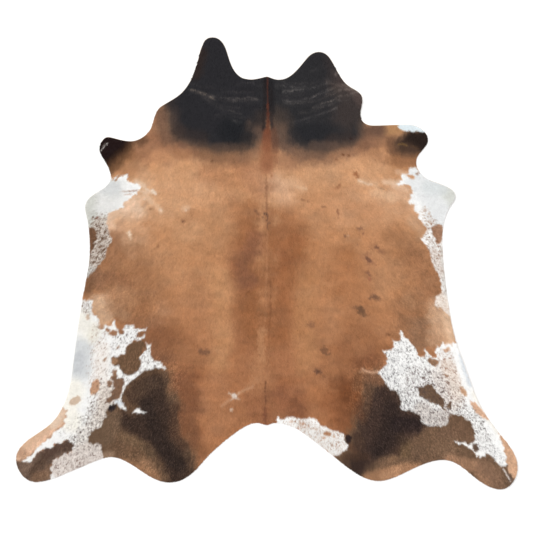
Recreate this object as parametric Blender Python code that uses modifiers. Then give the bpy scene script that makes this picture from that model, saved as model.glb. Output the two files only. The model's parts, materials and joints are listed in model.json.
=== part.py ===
"""A cowhide rug: one tanned hide with the hair on, laid flat on the floor.

Run with blender --background --python part.py, or from the text editor.
The hide is an outline cut from a gently uneven slab of leather and hair.
+X is the animal's right side as the rug is seen from above, +Y is the neck,
+Z is up, the floor is z = 0, and lengths in the tables are millimetres.
"""

from collections import namedtuple
from math import cos
from math import exp
from math import radians
from math import sin

import bmesh
import bpy
from mathutils import Vector

MM = 0.001

# The sheet.
LEATHER_THICKNESS = 2.0
LYING_HAIR_THICKNESS = 2.5
HIDE_THICKNESS = LEATHER_THICKNESS + LYING_HAIR_THICKNESS

# The slab that the outline is cut from, and its mesh.
SLAB_WIDTH = 2340
SLAB_LENGTH = 2120
MESH_PITCH = 32
OUTLINE_STEPS = 6
CUTTER_HEIGHT = 200
WELD_DISTANCE = 0.05

# Colour of the bare solid: the mean tan of the hair.
TAN_HAIR = (0.42, 0.22, 0.12, 1.0)
HAIR_ROUGHNESS = 0.75

# The edge of the hide, clockwise from the neck as seen from above.
# Each landmark has its place, the compass heading of the edge there in degrees
# (0 runs to +X, 90 to +Y) and the length of its two Bezier handles.
Landmark = namedtuple("Landmark", "name x y heading handle_before handle_after")

NECK = (
    Landmark("left tab crown", -247, 1040, 0, 41, 34),
    Landmark("left tab inner side", -183, 976, -72, 34, 50),
    Landmark("left nape hollow", -77, 847, 0, 74, 37),
    Landmark("nape point", 1, 860, 0, 12, 12),
    Landmark("right nape hollow", 57, 846, 0, 28, 42),
    Landmark("right tab inner side", 153, 907, 49, 37, 46),
    Landmark("right tab crown", 240, 973, 0, 41, 37),
    Landmark("right tab outer side", 314, 906, -62, 41, 41),
    Landmark("right cheek", 383, 813, -33, 37, 28),
    Landmark("right cheek corner", 440, 760, -88, 25, 28),
    Landmark("right throat", 431, 687, -90, 23, 30),
    Landmark("right throat hollow", 489, 635, 0, 37, 46),
)

RIGHT_FORELEG = (
    Landmark("right shoulder tab top", 650, 639, 0, 55, 41),
    Landmark("right shoulder tab tip", 742, 569, -90, 41, 23),
    Landmark("right shoulder tab back", 710, 513, -129, 23, 21),
    Landmark("right armpit", 687, 461, -90, 25, 28),
    Landmark("right foreleg front", 751, 383, -22, 41, 46),
    Landmark("right foreleg tip", 866, 311, -90, 37, 16),
    Landmark("right foreleg back", 841, 263, -121, 18, 28),
)

RIGHT_FLANK = (
    Landmark("right girth", 807, 116, -90, 64, 92),
    Landmark("right belly", 832, -169, -82, 92, 64),
    Landmark("right flank", 876, -381, -71, 64, 64),
    Landmark("right stifle", 955, -597, -68, 64, 41),
)

RIGHT_HIND_LEG = (
    Landmark("right thigh edge", 1028, -726, -54, 46, 46),
    Landmark("right shank", 1106, -825, -51, 37, 41),
    Landmark("right hock", 1152, -938, -90, 41, 48),
    Landmark("right leg end", 1073, -1040, 180, 47, 41),
    Landmark("right heel", 954, -984, 142, 41, 46),
    Landmark("right thigh hollow", 811, -904, 180, 60, 51),
)

RUMP = (
    Landmark("right rump slope", 659, -951, -154, 46, 46),
    Landmark("right rump lobe", 512, -1001, 180, 51, 64),
    Landmark("right tail slope", 337, -912, 141, 55, 55),
    Landmark("right tail arch", 162, -776, 145, 55, 41),
    Landmark("right tail hollow", 38, -734, 180, 41, 16),
    Landmark("tail point", 1, -744, 180, 12, 12),
    Landmark("left tail hollow", -45, -734, 180, 16, 41),
    Landmark("left tail arch", -177, -804, -142, 51, 46),
    Landmark("left tail slope", -283, -901, -132, 41, 46),
    Landmark("left rump lobe", -445, -1008, 180, 80, 55),
    Landmark("left rump slope", -583, -951, 146, 46, 46),
)

LEFT_HIND_LEG = (
    Landmark("left thigh hollow", -716, -891, 180, 46, 41),
    Landmark("left heel", -859, -939, -158, 46, 60),
    Landmark("left leg end", -1061, -1006, 180, 60, 53),
    Landmark("left hock", -1152, -896, 90, 53, 37),
    Landmark("left shank", -1084, -801, 34, 37, 41),
    Landmark("left thigh edge", -983, -726, 46, 37, 41),
)

LEFT_FLANK = (
    Landmark("left stifle", -917, -611, 70, 41, 46),
    Landmark("left flank", -888, -464, 83, 55, 83),
    Landmark("left belly", -848, -169, 81, 83, 74),
    Landmark("left girth", -813, 61, 90, 74, 46),
)

LEFT_FORELEG = (
    Landmark("left foreleg back", -823, 194, 101, 41, 23),
    Landmark("left foreleg tip", -834, 259, 90, 18, 28),
    Landmark("left foreleg front", -781, 326, 29, 23, 25),
    Landmark("left armpit", -716, 394, 90, 32, 23),
    Landmark("left shoulder tab back", -744, 470, 122, 28, 28),
    Landmark("left shoulder tab tip", -769, 525, 90, 18, 28),
    Landmark("left shoulder tab top", -730, 582, 0, 23, 23),
    Landmark("left throat hollow", -624, 563, 0, 46, 37),
)

LEFT_CHEEK = (
    Landmark("left throat", -532, 627, 70, 34, 37),
    Landmark("left cheek corner", -490, 720, 37, 28, 28),
    Landmark("left cheek", -390, 787, 46, 37, 41),
    Landmark("left tab outer side", -325, 907, 74, 46, 41),
    Landmark("left tab shoulder", -302, 990, 66, 18, 28),
)

OUTLINE = (
    NECK + RIGHT_FORELEG + RIGHT_FLANK + RIGHT_HIND_LEG + RUMP
    + LEFT_HIND_LEG + LEFT_FLANK + LEFT_FORELEG + LEFT_CHEEK
)

# Where the dried hide lifts a little off the floor: a smooth hump with its
# middle, its two half-widths, the heading of the first one and its height.
Swell = namedtuple("Swell", "name x y half_length half_width heading lift")

SWELLS = (
    Swell("left belly edge", -900, -440, 190, 75, 83, 14),
    Swell("right belly edge", 930, -470, 210, 80, 109, 13),
    Swell("right foreleg", 870, 300, 110, 70, 0, 10),
    Swell("left foreleg", -850, 270, 90, 60, 20, 8),
    Swell("left tab of the neck", -250, 1050, 60, 90, 0, 7),
    Swell("right tab of the neck", 245, 990, 70, 80, 0, 6),
    Swell("left leg end", -1150, -920, 110, 90, 0, 9),
    Swell("right leg end", 1160, -960, 120, 90, 0, 9),
    Swell("right cheek", 445, 745, 70, 60, 0, 6),
)

# Humps fade out where they would lift the sheet by less than this.
LEAST_LIFT = 0.4


def lift_off_floor(x, y):
    """How high the underside is at a point, in millimetres."""
    lift = 0.0
    for swell in SWELLS:
        along = (x - swell.x) * cos(radians(swell.heading)) + (y - swell.y) * sin(radians(swell.heading))
        across = (y - swell.y) * cos(radians(swell.heading)) - (x - swell.x) * sin(radians(swell.heading))
        spread = (along / swell.half_length) ** 2 + (across / swell.half_width) ** 2
        lift += swell.lift * exp(-spread)
    return max(0.0, lift - LEAST_LIFT)


def clear_scene():
    for old in list(bpy.data.objects):
        bpy.data.objects.remove(old, do_unlink=True)


def new_collection(name):
    collection = bpy.data.collections.new(name)
    bpy.context.scene.collection.children.link(collection)
    return collection


def hair_on_leather():
    """The bare solid's material."""
    material = bpy.data.materials.new("hair_on_leather")
    material.use_nodes = True
    material.diffuse_color = TAN_HAIR
    shader = material.node_tree.nodes["Principled BSDF"]
    shader.inputs["Base Color"].default_value = TAN_HAIR
    shader.inputs["Roughness"].default_value = HAIR_ROUGHNESS
    shader.inputs["Metallic"].default_value = 0.0
    return material


def outline_curve(collection):
    """The hide's edge as a filled 2D curve through its landmarks, run up as a cutter."""
    curve = bpy.data.curves.new("hide_outline", "CURVE")
    curve.dimensions = "2D"
    curve.fill_mode = "BOTH"
    curve.resolution_u = OUTLINE_STEPS
    curve.extrude = CUTTER_HEIGHT * MM / 2
    spline = curve.splines.new("BEZIER")
    spline.bezier_points.add(len(OUTLINE) - 1)
    spline.use_cyclic_u = True
    for point, landmark in zip(spline.bezier_points, OUTLINE):
        place = Vector((landmark.x, landmark.y, 0.0)) * MM
        ahead = Vector((cos(radians(landmark.heading)), sin(radians(landmark.heading)), 0.0)) * MM
        point.handle_left_type = "FREE"
        point.handle_right_type = "FREE"
        point.co = place
        point.handle_left = place - ahead * landmark.handle_before
        point.handle_right = place + ahead * landmark.handle_after
    outline = bpy.data.objects.new("hide_outline", curve)
    collection.objects.link(outline)
    return outline


def mesh_from_curve(outline, collection):
    """The outline cutter as a closed mesh, which a Boolean can use."""
    bpy.context.view_layer.update()
    evaluated = outline.evaluated_get(bpy.context.evaluated_depsgraph_get())
    mesh = bpy.data.meshes.new_from_object(evaluated)
    welded = bmesh.new()
    welded.from_mesh(mesh)
    bmesh.ops.remove_doubles(welded, verts=welded.verts, dist=WELD_DISTANCE * MM)
    bmesh.ops.recalc_face_normals(welded, faces=welded.faces)
    welded.to_mesh(mesh)
    welded.free()
    cutter = bpy.data.objects.new("outline_cutter", mesh)
    cutter.matrix_world = outline.matrix_world.copy()
    cutter.hide_render = True
    cutter.display_type = "WIRE"
    collection.objects.link(cutter)
    bpy.data.objects.remove(outline, do_unlink=True)
    return cutter


def uneven_sheet(collection):
    """The sheet before it is cut: a grid that follows the swells, with its thickness on top."""
    mesh = bpy.data.meshes.new("hide")
    grid = bmesh.new()
    bmesh.ops.create_grid(
        grid,
        x_segments=round(SLAB_WIDTH / MESH_PITCH),
        y_segments=round(SLAB_LENGTH / MESH_PITCH),
        size=0.5,
    )
    for vertex in grid.verts:
        x = vertex.co.x * SLAB_WIDTH
        y = vertex.co.y * SLAB_LENGTH
        vertex.co = Vector((x, y, lift_off_floor(x, y))) * MM
    grid.to_mesh(mesh)
    grid.free()
    sheet = bpy.data.objects.new("hide", mesh)
    collection.objects.link(sheet)
    thickness = sheet.modifiers.new("thickness", "SOLIDIFY")
    thickness.thickness = HIDE_THICKNESS * MM
    thickness.offset = 1.0
    return sheet


def hide(parts, cutters):
    """The one piece of the rug."""
    sheet = uneven_sheet(parts)
    cutter = mesh_from_curve(outline_curve(cutters), cutters)
    cut = sheet.modifiers.new("cut to the outline", "BOOLEAN")
    cut.operation = "INTERSECT"
    cut.solver = "EXACT"
    cut.object = cutter
    sheet.data.materials.append(hair_on_leather())
    return sheet


def main():
    clear_scene()
    parts = new_collection("cowhide_rug")
    cutters = new_collection("cutters")
    hide(parts, cutters)


main()
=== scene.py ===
"""Looks of the cowhide rug: a thin hide with its short hair, lying flat on a pale floor.

The frame's solid gives the outline and how the edges lift. A closed leather sheet takes its
place, and four coats of lying hair locks cover it. The coat's pattern is painted from tables
in centimetres on the hide: +X is the animal's right, +Y its neck, zero the middle of the box.
"""

import json
from collections import namedtuple
from math import pi, radians

import bmesh
import bpy
import numpy as np
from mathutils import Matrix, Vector
from mathutils.bvhtree import BVHTree
from mathutils.geometry import delaunay_2d_cdt

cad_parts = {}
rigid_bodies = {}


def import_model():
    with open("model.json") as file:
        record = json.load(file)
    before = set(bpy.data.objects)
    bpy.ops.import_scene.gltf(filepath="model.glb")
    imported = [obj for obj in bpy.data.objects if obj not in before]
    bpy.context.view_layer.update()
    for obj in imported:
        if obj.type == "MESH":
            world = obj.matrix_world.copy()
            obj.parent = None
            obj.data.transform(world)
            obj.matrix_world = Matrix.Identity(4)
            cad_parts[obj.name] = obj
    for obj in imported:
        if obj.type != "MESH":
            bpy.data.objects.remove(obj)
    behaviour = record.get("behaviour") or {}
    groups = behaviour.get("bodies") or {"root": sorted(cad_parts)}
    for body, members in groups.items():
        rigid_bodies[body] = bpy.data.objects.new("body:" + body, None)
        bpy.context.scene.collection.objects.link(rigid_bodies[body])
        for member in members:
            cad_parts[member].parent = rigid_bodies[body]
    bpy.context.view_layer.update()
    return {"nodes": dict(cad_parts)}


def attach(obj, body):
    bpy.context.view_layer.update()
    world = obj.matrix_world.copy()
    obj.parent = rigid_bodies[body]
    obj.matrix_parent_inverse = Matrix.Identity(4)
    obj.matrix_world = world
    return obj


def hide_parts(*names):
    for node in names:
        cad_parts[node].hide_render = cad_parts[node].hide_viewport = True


MM = 0.001
CM = 0.01

# The sheet, in mm
LEATHER_THICKNESS = 2.0
UNDERCOAT = 0.5
EDGE_INSET = 2.5
EDGE_STEP = 7.0
TOP_PITCH = 6.6
UNDERSIDE_PITCH = 30.0
RIM_BULGE = 0.8

# The hair, in mm
LOCK_PITCH = 2.78
LOCK_LENGTH = 13.0
LOCK_WIDTH = 2.7
LOCK_MIDDLE_HEIGHT = 1.25
LOCK_TIP_HEIGHT = 1.9
TIP_OVERHANG = 1.0
SHORTEST_LOCK = 4.0
LOCK_SEED = 20

# How far single locks stray from the painted colour: everywhere, where grizzled, less where white
LOCK_SPREAD = 0.04
GRIZZLE_SPREAD = 0.12
WHITE_SPREAD = 0.025
GRIZZLE_LIFT = 34.0
GRIZZLE_HAIR = (1.0, 0.84, 0.70)

COAT_PIECES = ("coat_neck", "coat_shoulders", "coat_ribs", "coat_hindquarters")
ISLAND_MAP = "OFBake"
STRAND_MAP = "strand"
COAT_COLOURS = "coat"

# The photograph's view, in metres, and how far the camera sees
VIEW_CENTRE = (-0.001, -0.015)
VIEW_WIDTH = 2.452
LENS = 100.0
SENSOR = 36.0
SIGHT = 100

# Light: what a level white surface gives back, and how much of it comes from the sky
LIT_WHITE = 1.30
SKY_SHARE = 0.62
# Of the light on the coat, what its hairs leave of it, and what their gloss adds
COAT_SHARE = 0.853
GLOSS_LIFT = 0.008
DARKEST = 0.0008

# The sun's height, bearing and width in the sky, in degrees
SUN_HEIGHT = 58
SUN_BEARING = 135
SUN_SOFTNESS = 50

# The floor, its half size in metres
FLOOR_HALF = 30.0
FLOOR_ALBEDO = 0.90
FLOOR_ROUGHNESS = 0.9


# ---------------------------------------------------------------- noise
# Numbers that scramble a grid point into what looks like chance
HASH_X = 374761393
HASH_Y = 668265263
HASH_SEED = 1442695041
HASH_MIXES = ((13, 1274126177), (16, 2246822519))
HASH_LAST_SHIFT = 15
LOW_32_BITS = 0xFFFFFFFF
LOW_24_BITS = 0xFFFFFF

# How much weaker each finer octave is, and how far a fleck keeps off its cell's border
OCTAVE_SHARE = 0.55
FLECK_MARGIN = 0.15
FLECK_ROOM = 0.7
FAR = 9.0


def lattice(column, row, seed):
    """A fixed number from 0 to 1 for each point of a whole-number grid."""
    value = column.astype(np.int64) * HASH_X + row.astype(np.int64) * HASH_Y + seed * HASH_SEED
    value = value & LOW_32_BITS
    for shift, factor in HASH_MIXES:
        value = ((value ^ (value >> shift)) * factor) & LOW_32_BITS
    return ((value ^ (value >> HASH_LAST_SHIFT)) & LOW_24_BITS) / float(LOW_24_BITS + 1)


def ease(share):
    """A step from 0 to 1 without a kink at either end."""
    return share * share * share * (share * (share * 6 - 15) + 10)


def noise(x, y, size, seed):
    """Smooth noise from -1 to 1 with lumps of the given size."""
    u = x / size
    v = y / size
    column = np.floor(u)
    row = np.floor(v)
    across = ease(u - column)
    up = ease(v - row)
    low = lattice(column, row, seed) * (1 - across) + lattice(column + 1, row, seed) * across
    high = lattice(column, row + 1, seed) * (1 - across) + lattice(column + 1, row + 1, seed) * across
    return 2 * (low * (1 - up) + high * up) - 1


def rough(x, y, size, seed, octaves=3):
    """Noise of several sizes together, each size half the one before and weaker."""
    total = 0
    weight = 1.0
    span = 0.0
    for octave in range(octaves):
        total = total + weight * noise(x, y, size / 2 ** octave, seed + octave)
        span += weight
        weight *= OCTAVE_SHARE
    return total / span


def flecks(x, y, pitch, seed, stretch):
    """Distance to the nearest jittered fleck and that fleck's own random number."""
    u = x / pitch
    v = y / (pitch * stretch)
    best = np.full(np.shape(u), FAR)
    own = np.zeros(np.shape(u))
    for right in (-1, 0, 1):
        for up in (-1, 0, 1):
            column = np.floor(u) + right
            row = np.floor(v) + up
            fleck_u = column + FLECK_MARGIN + FLECK_ROOM * lattice(column, row, seed)
            fleck_v = row + FLECK_MARGIN + FLECK_ROOM * lattice(column, row, seed + 1)
            distance = np.hypot(u - fleck_u, v - fleck_v)
            nearer = distance < best
            own = np.where(nearer, lattice(column, row, seed + 2), own)
            best = np.where(nearer, distance, best)
    return best * pitch, own


# ---------------------------------------------------------------- shapes
def ramp(low, high, value):
    """0 below low, 1 above high and a smooth step between them."""
    share = np.clip((value - low) / (high - low), 0, 1)
    return share * share * (3 - 2 * share)


def segment_distance(x, y, start, end):
    """Distance to a straight line between two points."""
    dx = end[0] - start[0]
    dy = end[1] - start[1]
    share = np.clip(((x - start[0]) * dx + (y - start[1]) * dy) / (dx * dx + dy * dy), 0, 1)
    return np.hypot(x - start[0] - share * dx, y - start[1] - share * dy)


def path_distance(x, y, path):
    """Distance to the nearest point of a path."""
    if len(path) == 1:
        return np.hypot(x - path[0][0], y - path[0][1])
    best = segment_distance(x, y, path[0], path[1])
    for start, end in zip(path[1:-1], path[2:]):
        best = np.minimum(best, segment_distance(x, y, start, end))
    return best


def depth_inside(x, y, edge):
    """Signed distance to a closed outline, positive inside."""
    best = path_distance(x, y, edge + edge[:1])
    inside = np.zeros(np.shape(x), bool)
    for (ax, ay), (bx, by) in zip(edge, edge[1:] + edge[:1]):
        if ay == by:
            continue
        crosses = (ay > y) != (by > y)
        at = ax + (y - ay) * (bx - ax) / (by - ay)
        inside ^= crosses & (x < at)
    return np.where(inside, best, -best)


def near_box(x, y, points, margin):
    """Which places are within a margin of a shape's box."""
    xs = [point[0] for point in points]
    ys = [point[1] for point in points]
    beside = (x > min(xs) - margin) & (x < max(xs) + margin)
    return beside & (y > min(ys) - margin) & (y < max(ys) + margin)


# ---------------------------------------------------------------- flow of the hair
# How far the hair turns outwards on the sides, and more so on the forelegs. Sizes in cm
SIDE_TURN = 0.9
SIDE_REACH = 90.0
FORELEG_TURN = 1.3
FORELEG = (80, 28)
FORELEG_REACH = (22, 14)


def flow(x, y):
    """Unit vector of the lying hair: from the neck to the tail, outwards on the sides and legs."""
    out = SIDE_TURN * np.tanh(np.abs(x) / SIDE_REACH) * np.ones_like(y)
    off_x = (np.abs(x) - FORELEG[0]) / FORELEG_REACH[0]
    off_y = (y - FORELEG[1]) / FORELEG_REACH[1]
    out = out + FORELEG_TURN * np.exp(-(off_x ** 2) - off_y ** 2)
    dx = np.sign(x) * out
    dy = -np.ones_like(x)
    size = np.hypot(dx, dy)
    return dx / size, dy / size


# ---------------------------------------------------------------- the coat's tables
# Colours are sRGB 0-255. A tone follows a path, full up to its core and gone after its fade, in cm.
# A zone fills an outline. Each is laid over the ones before it.
Tone = namedtuple("Tone", "name path core fade colour strength")
Zone = namedtuple("Zone", "name outline soft colour strength")
Spot = namedtuple("Spot", "name x y half_length half_width heading colour")

# the tan of the back where no tone lies on it
SHOULDER_TAN = (201, 150, 110)
RIB_TAN = (182, 130, 92)
RUMP_TAN = (168, 115, 80)

# the tan of the back, from the shoulders to the rump
TAN_TONES = (
    # shoulders
    Tone("pale left shoulder", ((-64, 28), (-45, 33), (-30, 37)), 4, 16, (216, 167, 128), 0.68),
    Tone("pale left upper", ((-52, 43), (-40, 43)), 2, 12, (203, 152, 111), 0.6),
    Tone("left upper inner", ((-26, 42), (-14, 38), (-12, 44)), 2, 8, (184, 132, 95), 0.85),
    Tone("left withers deep", ((-15, 26), (-13, 20)), 1.4, 6, (172, 120, 85), 0.8),
    Tone("pale left shoulder edge", ((-69, 19), (-66, 23.6), (-61, 24.6)), 2, 7, (234, 204, 178), 0.8),
    Tone("pale left shoulder mid", ((-60, 39), (-56, 36)), 2, 6, (222, 178, 142), 0.6),
    Tone("pale left girth", ((-65, 18), (-62, 15), (-58, 12)), 2.2, 6, (218, 176, 142), 0.8),
    Tone("pale right shoulder", ((10, 38), (30, 40), (50, 40)), 2, 12, (203, 154, 115), 0.7),
    Tone("pale right shoulder low", ((40, 28), (56, 28), (67, 24)), 2, 13, (209, 161, 124), 0.75),
    Tone("pale withers right", ((3, 37), (8, 32)), 1.5, 8, (216, 174, 142), 0.75),
    Tone("spine shade at withers", ((1, 23), (2, 10), (1, -6), (0, -28)), 1.2, 3.4, (150, 101, 69), 0.7),
    Tone("pale shoulder right edge", ((60, 34), (68, 29)), 1, 6, (222, 180, 146), 0.7),
    Tone("warm withers right low", ((24, 28), (34, 29)), 2, 10, (196, 142, 102), 0.5),
    Tone("right shoulder warm", ((42, 24), (49, 22)), 1.5, 6, (188, 136, 98), 0.6),
    Tone("right throat warm", ((45, 52), (50, 51), (54, 48.4)), 1, 5, (170, 123, 90), 0.65),
    Tone("pale withers left", ((-14, 30), (-25, 20)), 2, 14, (196, 145, 106), 0.4),
    Tone("left of wedge", ((-8, 45), (-3, 36)), 2, 8, (172, 122, 90), 0.6),
    Tone("under the wedge", ((0.5, 48), (0, 43)), 1, 5, (172, 120, 88), 0.6),
    # spine bands
    Tone("left spine band", ((-9, 16), (-10.6, 2), (-8, -9), (-9, -20), (-7, -38)), 2.0, 8, (149, 98, 65),
        0.88),
    Tone("left band bulge", ((-14, 8), (-16, -2), (-13, -9)), 1.5, 7, (154, 104, 73), 0.6),
    Tone("left band patch", ((-13, -16), (-15, -22)), 1, 5, (160, 108, 74), 0.45),
    Tone("left band patch low", ((-12, -34), (-17, -40)), 1, 6, (160, 108, 76), 0.45),
    Tone("left spine band top", ((-9, 24), (-9, 16)), 1, 8, (165, 112, 76), 0.6),
    Tone("left spine shade", ((-5, 12), (-8, 4), (-12, -1), (-9, -8)), 1, 6, (136, 92, 70), 0.65),
    Tone("right spine band", ((8, 14), (11, 4), (8, -10), (6, -34)), 2.5, 7, (151, 99, 66), 0.9),
    Tone("right band bulge", ((16, 12), (17, 2), (14, -8)), 1.5, 7, (160, 107, 71), 0.6),
    Tone("right band patch", ((11, -22), (13, -30)), 1, 6, (156, 104, 70), 0.5),
    Tone("right spine band top", ((9, 22), (14, 12)), 1, 8, (166, 112, 76), 0.5),
    Tone("right spine deep", ((14, 9), (13, 3), (8, 2)), 1, 6, (148, 93, 60), 0.6),
    Tone("mid back left", ((-6, -45), (-8, -52)), 3, 9, (166, 113, 79), 0.6),
    Tone("mid back right", ((8, -45), (10, -58)), 3, 9, (160, 107, 74), 0.7),
    Tone("pale left column", ((-22.4, -5), (-20, -14), (-23.6, -24), (-20.6, -34), (-22, -46)),
        1.2, 7, (198, 147, 105), 0.68),
    Tone("pale left column top", ((-24, 15), (-30, 5)), 4, 14, (192, 141, 101), 0.5),
    Tone("pale right column", ((19, -8), (17, -30), (18, -46)), 1.5, 7, (186, 134, 93), 0.6),
    Tone("spine base shade", ((6, -60), (14, -66)), 2, 7, (136, 88, 63), 0.7),
    Tone("croup", ((-4, -66), (0, -72)), 2, 8, (146, 96, 67), 0.65),
    Tone("rump left pale", ((-24, -56), (-22, -80)), 3, 9, (172, 120, 85), 0.6),
    Tone("rump right pale", ((24, -54), (25, -66), (27, -74)), 2, 7, (163, 110, 75), 0.55),
    # left ribs and flank
    Tone("left rib upper light", ((-49, 26), (-42, 25), (-37, 15)), 2, 7, (216, 168, 128), 0.65),
    Tone("left rib light", ((-42, 18), (-45, 0)), 4, 14, (197, 146, 106), 0.5),
    Tone("left girth warm", ((-55, 8), (-62, 12)), 3, 9, (191, 143, 106), 0.5),
    Tone("left elbow shade", ((-69.4, 12), (-71, 6), (-73, 0)), 1, 5, (150, 108, 80), 0.75),
    Tone("pale girth streak", ((-64.6, 11), (-62, 3)), 0.8, 3, (208, 166, 132), 0.55),
    Tone("left flank olive", ((-76, -8), (-62, -2), (-56, -12)), 3, 12, (156, 111, 79), 0.75),
    Tone("left flank olive low", ((-66, -20), (-60, -25), (-48, -30)), 3, 10, (150, 105, 74), 0.8),
    Tone("left rib warm", ((-30, -24), (-32, -32)), 3, 10, (181, 128, 91), 0.6),
    Tone("left flank pale", ((-48, -23), (-50, -29)), 1.5, 6, (190, 140, 104), 0.75),
    Tone("left flank deep", ((-66, -9), (-72, -7)), 1, 5, (146, 102, 74), 0.55),
    Tone("left flank mid", ((-46, -34), (-38, -44)), 4, 12, (160, 109, 75), 0.7),
    Tone("left edge shade", ((-80, -4), (-82, -13)), 0.8, 4, (120, 86, 64), 0.85),
    Tone("left edge deep", ((-77, -6), (-77, -11)), 1, 3.4, (142, 102, 76), 0.7),
    Tone("left edge light", ((-77.4, -18), (-75.4, -25)), 2.4, 5, (210, 174, 143), 0.85),
    Tone("left edge streak", ((-72, -20), (-66, -24)), 0.8, 3.4, (178, 136, 104), 0.6),
    Tone("left edge light in", ((-68, -14), (-64, -17)), 1.5, 6, (182, 136, 101), 0.6),
    Tone("left shade at arm", ((-50, -38), (-52, -34)), 3, 9, (138, 93, 66), 0.75),
    Tone("left shade under arm", ((-47, -44), (-52, -42)), 1, 5, (128, 86, 62), 0.7),
    Tone("left hip warm", ((-37, -54), (-36, -66)), 2, 8, (128, 84, 59), 0.9),
    Tone("left rump inner", ((-33, -78), (-32, -87)), 1.5, 4.5, (134, 90, 63), 0.65),
    # right ribs and flank
    Tone("right rib warm", ((25, 2), (32, -4)), 4, 13, (178, 125, 86), 0.5),
    Tone("right rib brown", ((36, 2), (33, -6)), 2, 8, (164, 111, 74), 0.6),
    Tone("right rib light", ((54, -2), (57, -10)), 2, 9, (187, 137, 99), 0.6),
    Tone("right rib low", ((38, -8), (40, -20)), 3, 10, (172, 118, 81), 0.6),
    Tone("right girth shade", ((60, 12), (64, 8), (66, 0)), 2, 9, (160, 114, 81), 0.7),
    Tone("right flank olive", ((70, 2), (72, -5), (76, -12)), 2, 8, (154, 109, 78), 0.9),
    Tone("right flank low", ((66, -18), (68, -28), (66, -36)), 3, 9, (146, 104, 75), 0.75),
    Tone("right flank olive blotch", ((70, -28), (70.6, -36)), 1.5, 5, (142, 105, 79), 0.85),
    Tone("right flank light patch", ((65, -16), (67, -19)), 1, 4, (172, 128, 95), 0.7),
    Tone("right flank edge pale", ((81, -24), (84, -29), (85, -34)), 2, 6, (216, 182, 152), 0.92),
    Tone("right flank edge pale top", ((83.6, -15), (84.6, -22)), 0.8, 3, (226, 196, 170), 0.8),
    Tone("right girth edge pale", ((67.4, 19), (71.4, 14)), 1, 4, (206, 164, 130), 0.6),
    Tone("right flank edge in", ((77, -20), (78, -30), (78, -35)), 1.5, 5, (188, 150, 120), 0.8),
    Tone("right mid flank", ((40, -36), (50, -42), (48, -46)), 3, 10, (154, 104, 71), 0.8),
    Tone("right hip red", ((37, -58), (38.4, -70)), 3, 8, (118, 72, 46), 0.9),
    Tone("right hip shade in", ((38, -58), (36, -62)), 1, 5, (120, 74, 47), 0.6),
    Tone("right mid hip shade", ((49, -45), (43, -46)), 1.5, 5, (128, 82, 56), 0.8),
    Tone("right loin shade", ((35, -40), (36, -47)), 1.5, 6, (148, 99, 68), 0.6),
    Tone("right hip red in", ((30, -66), (34, -74)), 2, 7, (150, 97, 65), 0.6),
    # fore edges
    Tone("left cheek tan", ((-50, 68), (-52, 60)), 2, 7, (158, 114, 86), 0.8),
    Tone("left throat shade", ((-58, 52), (-46, 54)), 2, 8, (156, 110, 82), 0.75),
    Tone("left tab root", ((-66, 44), (-61, 43)), 1, 5, (196, 148, 112), 0.7),
    Tone("left tab brown", ((-66, 50), (-64, 44)), 2, 7, (160, 112, 76), 0.5),
    Tone("right throat tan", ((50, 58), (54, 60)), 2, 7, (148, 108, 82), 0.8),
    Tone("right tab tan top", ((57, 62), (60, 61)), 1, 4, (178, 130, 92), 0.9),
    Tone("right tab brown", ((60, 48), (66, 46)), 2, 6, (160, 112, 76), 0.7),
)

# how the tan wanders between redder and greyer
WARMTH = (2.0, -0.6, -2.4)

# the black of the neck on both sides of the mane line
NECK_ZONES = (
    Zone("left neck black", ((-48.4, 77), (-45.8, 70.6), (-44.6, 66), (-43.8, 62.4), (-42, 59.4),
        (-38.8, 56.8), (-35.6, 55.4), (-33, 54.6), (-29.4, 54), (-27, 53), (-24, 52.2), (-20, 52),
        (-16, 52.8), (-13, 54.2), (-11, 56), (-9.6, 58.6), (-8, 62), (-6.4, 65.4), (-4, 69), (2, 72),
        (5, 76), (5, 92), (-10, 122), (-60, 118), (-60, 84)), 4.0, (44, 43, 46), 1.0),
    Zone("right neck black", ((-4, 92), (-4, 76), (0, 72), (4.6, 71.4), (8, 69.4), (9.8, 66), (11.4, 61),
        (12.6, 58), (13.8, 56), (15.6, 54.4), (18.6, 53), (22, 52), (26, 51.8), (29, 52.8), (31.4, 53.6),
        (35, 54.2), (38.6, 54.4), (41, 56), (42.6, 58.4), (43.6, 62), (44, 66), (62, 74), (60, 100),
        (30, 122), (0, 122)), 4.0, (46, 45, 47), 1.0),
)

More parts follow.
